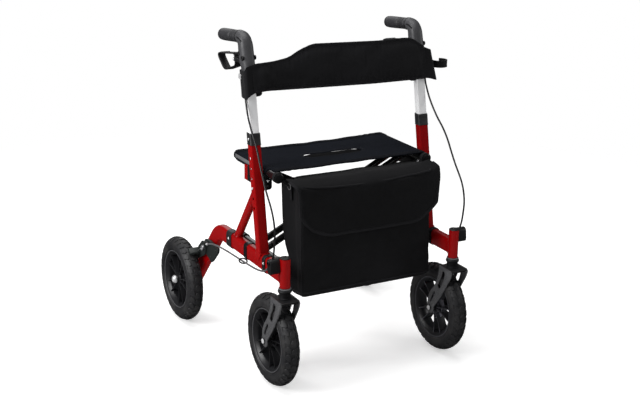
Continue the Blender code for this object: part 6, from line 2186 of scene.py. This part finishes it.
def bag_shell():
    """The bag's cloth, lofted upwards: a rounded base, slack sides with gusset folds, a sagging mouth."""
    rings = []
    middle_x, width = (BAG_LEFT + BAG_RIGHT) / 2, BAG_RIGHT - BAG_LEFT
    heights = [0.2392, 0.2400, 0.2425, 0.2465, 0.2520, 0.2590] + [0.268 + 0.0098 * step for step in range(29)]
    for z in heights:
        front, back = bag_level(z)
        depth = back - front
        base = max(1 - (z - 0.239) / 0.014, 0)
        tuck = 0.010 * base**2
        share = (z - 0.239) / 0.306
        ring = []
        for u, v in bag_section(width - 2 * tuck, depth - 1.2 * tuck):
            wider = 0.011 if u < 0 else 0.002
            x = middle_x + u + wider * (v / depth + 0.5) * 2 * u / width
            y = (front + back) / 2 + v
            on_front = max(-v / depth * 2, 0) ** 2
            on_side = max((abs(u) - width / 2 + 0.012) / 0.012, 0)
            fold = math.exp(-((v / depth / 0.22) ** 2)) * on_side
            x -= math.copysign(0.0105 * fold * (0.35 + 0.65 * share), u)
            slack = wrinkle(x, 0, z * 0.6, 0.07, 0.0040, 1) + wrinkle(x, 0, z, 0.028, 0.0013, 5)
            crease = 0.0016 * math.sin((z + 0.35 * abs(x)) * 150) * max(1 - share * 1.6, 0)
            y += (slack + crease) * on_front * (1 - base)
            lift = -0.013 * share**8 * (1 - (2 * u / width) ** 2) * (1 if v < 0 else 0.6)
            ring.append((x, y, z + lift))
        rings.append(ring)
    return rings


def bag_section(width, depth):
    """A rounded rectangle with points close enough for folds along its sides."""
    corner = min(0.0085, depth * 0.2)
    u, v = width / 2 - corner, depth / 2 - corner
    points = []
    runs = (((u, v), 0, (-2 * u, 0), 56), ((-u, v), 90, (0, -2 * v), 12))
    runs += (((-u, -v), 180, (2 * u, 0), 56), ((u, -v), 270, (0, 2 * v), 12))
    for middle, start, run, steps in runs:
        turned = arc(middle, corner, start, start + 90, 5)
        points += turned
        last = turned[-1]
        points += [(last[0] + run[0] * k / steps, last[1] + run[1] * k / steps) for k in range(1, steps)]
    return points


def flap_place(a, b):
    """A point of the flap: from the back wall over the mouth, and then down the front to its hem."""
    over = min(b / FLAP_TURN, 1)
    down = max((b - FLAP_TURN) / (1 - FLAP_TURN), 0)
    low = FLAP_LOW
    for _ in range(2):
        z = FLAP_TOP_Z - (FLAP_TOP_Z - low) * down
        left, right = along_line(FLAP_LEFT, -z), along_line(FLAP_RIGHT, -z)
        x = left + (right - left) * a
        low = along_line(FLAP_HEM, x)
    ear = max(1 - min(a, 1 - a) / 0.13, 0)
    ear = ear * ear * (3 - 2 * ear)
    wave = wrinkle(x, 0, z * 0.5, 0.06, 0.0034, 8) + wrinkle(x, 0, z, 0.024, 0.0010, 9)
    turn_y = -0.236 + 0.009 * ear
    rise = 0.0075 * ear + wrinkle(x, 0, 0, 0.07, 0.0022, 3) * (1 - ear)
    if over < 1:
        back_y = -0.181 - 0.0455 * min(ear * 1.6, 1)
        y = back_y + (turn_y - back_y) * over
        return Vector((x, y, z + rise - (0.0045 - 0.0045 * ear) * (1 - over) ** 2))
    bend = max(1 - down / 0.16, 0) ** 2
    under = bag_level(z)[0]
    front = under - 0.0018 - 0.0035 * down**3 + wave * min(down * 4, 1)
    front = min(front, under - 0.0008)
    front += 0.016 * max(1 - (1 - a) / 0.10, 0) ** 2 * (1 - down)
    return Vector((x, front + (turn_y - front) * bend, z + rise * max(1 - down / 0.4, 0)))


def make_bag():
    """The hanging bag: its shell, its flap with a bound edge, its side ties and its ring."""
    squashed = ("left_frame", "fold", (1, 0, 0), (BAG_LEFT, 0, 0), BAG_KEEP)
    shell = loft("shell", bag_shell())
    edit(shell)
    bpy.ops.mesh.select_all(action="DESELECT")
    bpy.ops.mesh.select_mode(type="FACE")
    bpy.ops.object.mode_set(mode="OBJECT")
    sides = len(bag_section(1, 0.1))
    for face in shell.data.polygons:
        face.select = face.loop_total == sides and face.center.z > 0.4
    bpy.ops.object.mode_set(mode="EDIT")
    bpy.ops.mesh.delete(type="FACE")
    bpy.ops.mesh.select_mode(type="VERT")
    bpy.ops.object.mode_set(mode="OBJECT")
    modify(shell, "SOLIDIFY", thickness=0.0024, offset=-1)
    shell = put(mend(shell), "bag_shell", squashed, FINISH["bag"], "bag", 60)

    flap = cloth_patch("flap", 110, 60, flap_place, 0.0022)
    flap = put(flap, "bag_flap", squashed, FINISH["bag"], angle=60)
    edge = [flap_place(0, step / 40) for step in range(11, 41)]
    edge += [flap_place(step / 90, 1) for step in range(1, 90)]
    edge += [flap_place(1, 1 - step / 40) for step in range(0, 30)]
    outs = [Vector((0, -1, 0))] * len(edge)
    tape = ribbon("tape", [spot + Vector((0, -0.0004, 0)) for spot in edge], outs, 0.0075, 0.0034, 0.0015)
    binding = put(tape, "bag_flap_binding", squashed, FINISH["tape"], angle=60)
    inner = []
    for spot in edge:
        towards = (Vector((0.015, spot.y, 0.49)) - spot).normalized()
        inner.append(spot + towards * 0.0065 + Vector((0, -0.0016, 0)))
    stitching = put(sew("row", inner, outs), "bag_flap_stitching", squashed, FINISH["thread"], angle=60)

    rings = bag_shell()
    piping = [tube("piping", [Vector(spot) for spot in rings[4]], 0.0017, 8, closed=True)]
    mouth = [Vector(spot) + Vector((0, 0, 0.0004)) for spot in rings[-1]]
    piping.append(tube("mouth", mouth, 0.0024, 8, closed=True))
    for corner in (2, 63, 80, 141):
        piping.append(tube("edge", [Vector(ring[corner]) for ring in rings[4:]], 0.0014, 8))
    put(join(*piping), "bag_piping", squashed, FINISH["tape"], angle=60)

    for side, sign in SIDES.items():
        body = "cross_a" if sign > 0 else "cross_b"
        low, high = SEAT_RAIL_RADIUS + 0.0002, SEAT_RAIL_RADIUS + 0.0019
        profile = [(-0.2185, low), (-0.2185, high), (-0.2062, high), (-0.2062, low)]
        loop = turn("loop", profile + profile[:1], (sign * SEAT_RAIL_X, 0, SEAT_RAIL_Z), (0, 1, 0), 32)
        put(loop, f"bag_{side}_rail_loop", body, FINISH["webbing_loop"], angle=40)
        edge_x = BAG_LEFT if sign < 0 else BAG_RIGHT
        tail = [
            (sign * 0.2165, -0.2125, 0.5520), (sign * 0.2140, -0.2135, 0.5440),
            (edge_x * 1.02, -0.2165, 0.5300), (edge_x * 1.005, -0.2175, 0.5120),
            (edge_x * 1.0, -0.2180, 0.4950)
        ]
        strap = ribbon("strap", smooth_route(tail, 24), [(sign, 0, 0.2)] * 24, 0.0125, 0.0022)
        put(strap, f"bag_{side}_hanging_strap", squashed, FINISH["webbing_loop"], angle=50)
        middle = Vector((edge_x * 1.035, -0.2185, 0.5340))
        circle = []
        for step in range(28):
            angle = 2 * math.pi * step / 28
            flat = 0.7 if math.sin(angle) > 0.5 else 1
            circle.append(middle + Vector((0, 0.0085 * math.cos(angle), 0.0090 * math.sin(angle) * flat)))
        put(tube("ring", circle, 0.0013, 10, closed=True), f"bag_{side}_ring", squashed, FINISH["cast"])


# What the user can change, and the tools that make the walker


def colour_setting(name, description, default):
    return bpy.props.FloatVectorProperty(
        name=name, description=description, default=default, min=0, max=1, size=3, subtype="COLOR"
    )


class WalkerColours(bpy.types.PropertyGroup):
    frame_red: colour_setting("Frame red", "Enamel of the side frames", (0.27, 0.0008, 0.0015))
    deep_black: colour_setting("Black", "Moulded plastics, rubber and black paint", (0.0065, 0.0065, 0.0075))
    plastic_grey: colour_setting("Grey", "Handles and collars", (0.052, 0.052, 0.056))
    seat_navy: colour_setting("Seat", "Twill of the seat sling", (0.0080, 0.0092, 0.0128))


class WalkerSizes(bpy.types.PropertyGroup):
    swell: bpy.props.FloatProperty(
        name="Pad swell",
        description="How far the back band's foam may push its cloth out",
        default=0.004,
        min=0,
        max=0.01,
        unit="LENGTH",
    )


class WalkerStage(bpy.types.PropertyGroup):
    light_level: bpy.props.FloatProperty(
        name="Light level", description="Strength of all the lamps together", default=1.0, min=0, max=10
    )
    paper_glow: bpy.props.FloatProperty(
        name="Floor glow", description="How much the floor shines by itself", default=0.42, min=0, max=2
    )
    air_level: bpy.props.FloatProperty(
        name="Surroundings", description="Strength of the white surroundings", default=0.25, min=0, max=5
    )


def settings_of(context):
    scene = context.scene
    return scene.walker_colours, scene.walker_sizes, scene.walker_stage


class WALKER_OT_stage(bpy.types.Operator):
    """Make the pale floor, the soft lights and the camera"""

    bl_idname = "walker.stage"
    bl_label = "Stage and camera"

    def execute(self, context):
        make_stage(settings_of(context)[2])
        return {"FINISHED"}


class WALKER_OT_finishes(bpy.types.Operator):
    """Make every paint, plastic, metal, rubber and cloth of the walker"""

    bl_idname = "walker.finishes"
    bl_label = "Finishes"

    def execute(self, context):
        make_finishes(settings_of(context)[0])
        return {"FINISHED"}


class WALKER_OT_wheels(bpy.types.Operator):
    """Make the four tyres with their tread, the spoked rims and the axles"""

    bl_idname = "walker.wheels"
    bl_label = "Wheels"

    def execute(self, context):
        make_tyres()
        make_rims()
        make_axles()
        return {"FINISHED"}


class WALKER_OT_casters(bpy.types.Operator):
    """Make the slotted forks, their bearings and the head tubes"""

    bl_idname = "walker.casters"
    bl_label = "Forks and head tubes"

    def execute(self, context):
        make_forks()
        make_casters()
        return {"FINISHED"}


class WALKER_OT_side_frames(bpy.types.Operator):
    """Make the bent rails, uprights, braces, saddles, collars, inner tubes and clamps"""

    bl_idname = "walker.side_frames"
    bl_label = "Side frames"

    def execute(self, context):
        make_rails()
        make_uprights()
        make_saddles()
        make_columns()
        make_clamps()
        make_rail_rings()
        return {"FINISHED"}


class WALKER_OT_cross_frame(bpy.types.Operator):
    """Make the folding cross bars, their centre bolt and the seat rails"""

    bl_idname = "walker.cross_frame"
    bl_label = "Cross frame"

    def execute(self, context):
        make_cross_frame()
        return {"FINISHED"}


class WALKER_OT_handles(bpy.types.Operator):
    """Make the moulded handles with their grips and loop levers"""

    bl_idname = "walker.handles"
    bl_label = "Handles"

    def execute(self, context):
        make_handles()
        make_grips()
        make_levers()
        return {"FINISHED"}


class WALKER_OT_brakes(bpy.types.Operator):
    """Make the brake cables, their guides and the rear brakes"""

    bl_idname = "walker.brakes"
    bl_label = "Brakes and cables"

    def execute(self, context):
        make_cables()
        make_guides()
        make_brakes()
        return {"FINISHED"}


class WALKER_OT_seat(bpy.types.Operator):
    """Make the seat sling with its hems, webbing and pull strap"""

    bl_idname = "walker.seat"
    bl_label = "Seat"

    def execute(self, context):
        make_seat()
        make_pull_strap()
        return {"FINISHED"}


class WALKER_OT_back_band(bpy.types.Operator):
    """Make the padded back band and its ends round the handles"""

    bl_idname = "walker.back_band"
    bl_label = "Back band"

    def execute(self, context):
        make_band(settings_of(context)[1])
        return {"FINISHED"}


class WALKER_OT_bag(bpy.types.Operator):
    """Make the hanging bag with its flap and ties"""

    bl_idname = "walker.bag"
    bl_label = "Bag"

    def execute(self, context):
        make_bag()
        return {"FINISHED"}


class WALKER_OT_cane_ring(bpy.types.Operator):
    """Make the open ring for a cane on the right handle"""

    bl_idname = "walker.cane_ring"
    bl_label = "Cane ring"

    def execute(self, context):
        make_cane_clip()
        return {"FINISHED"}


OPERATORS = (
    WALKER_OT_stage,
    WALKER_OT_finishes,
    WALKER_OT_wheels,
    WALKER_OT_casters,
    WALKER_OT_side_frames,
    WALKER_OT_cross_frame,
    WALKER_OT_handles,
    WALKER_OT_brakes,
    WALKER_OT_seat,
    WALKER_OT_back_band,
    WALKER_OT_bag,
    WALKER_OT_cane_ring,
)


class WALKER_PT_pieces(bpy.types.Panel):
    """Everything that makes the walker, in order"""

    bl_label = "Rollator walker"
    bl_idname = "WALKER_PT_pieces"
    bl_space_type = "VIEW_3D"
    bl_region_type = "UI"
    bl_category = "Walker"

    def draw(self, context):
        column = self.layout.column()
        for group in settings_of(context):
            for setting in group.bl_rna.properties.keys():
                if setting not in ("rna_type", "name"):
                    column.prop(group, setting)
        for operator in OPERATORS:
            column.operator(operator.bl_idname)


GROUPS = {
    "walker_colours": WalkerColours,
    "walker_sizes": WalkerSizes,
    "walker_stage": WalkerStage,
}


def register():
    for group in GROUPS.values():
        bpy.utils.register_class(group)
    for name, group in GROUPS.items():
        setattr(bpy.types.Scene, name, bpy.props.PointerProperty(type=group))
    for operator in OPERATORS:
        bpy.utils.register_class(operator)
    bpy.utils.register_class(WALKER_PT_pieces)


def unregister():
    bpy.utils.unregister_class(WALKER_PT_pieces)
    for operator in reversed(OPERATORS):
        bpy.utils.unregister_class(operator)
    for name, group in reversed(GROUPS.items()):
        delattr(bpy.types.Scene, name)
        bpy.utils.unregister_class(group)


def main():
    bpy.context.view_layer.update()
    register()
    for operator in OPERATORS:
        group, tool = operator.bl_idname.split(".")
        getattr(getattr(bpy.ops, group), tool)()


if __name__ == "__main__":
    main()
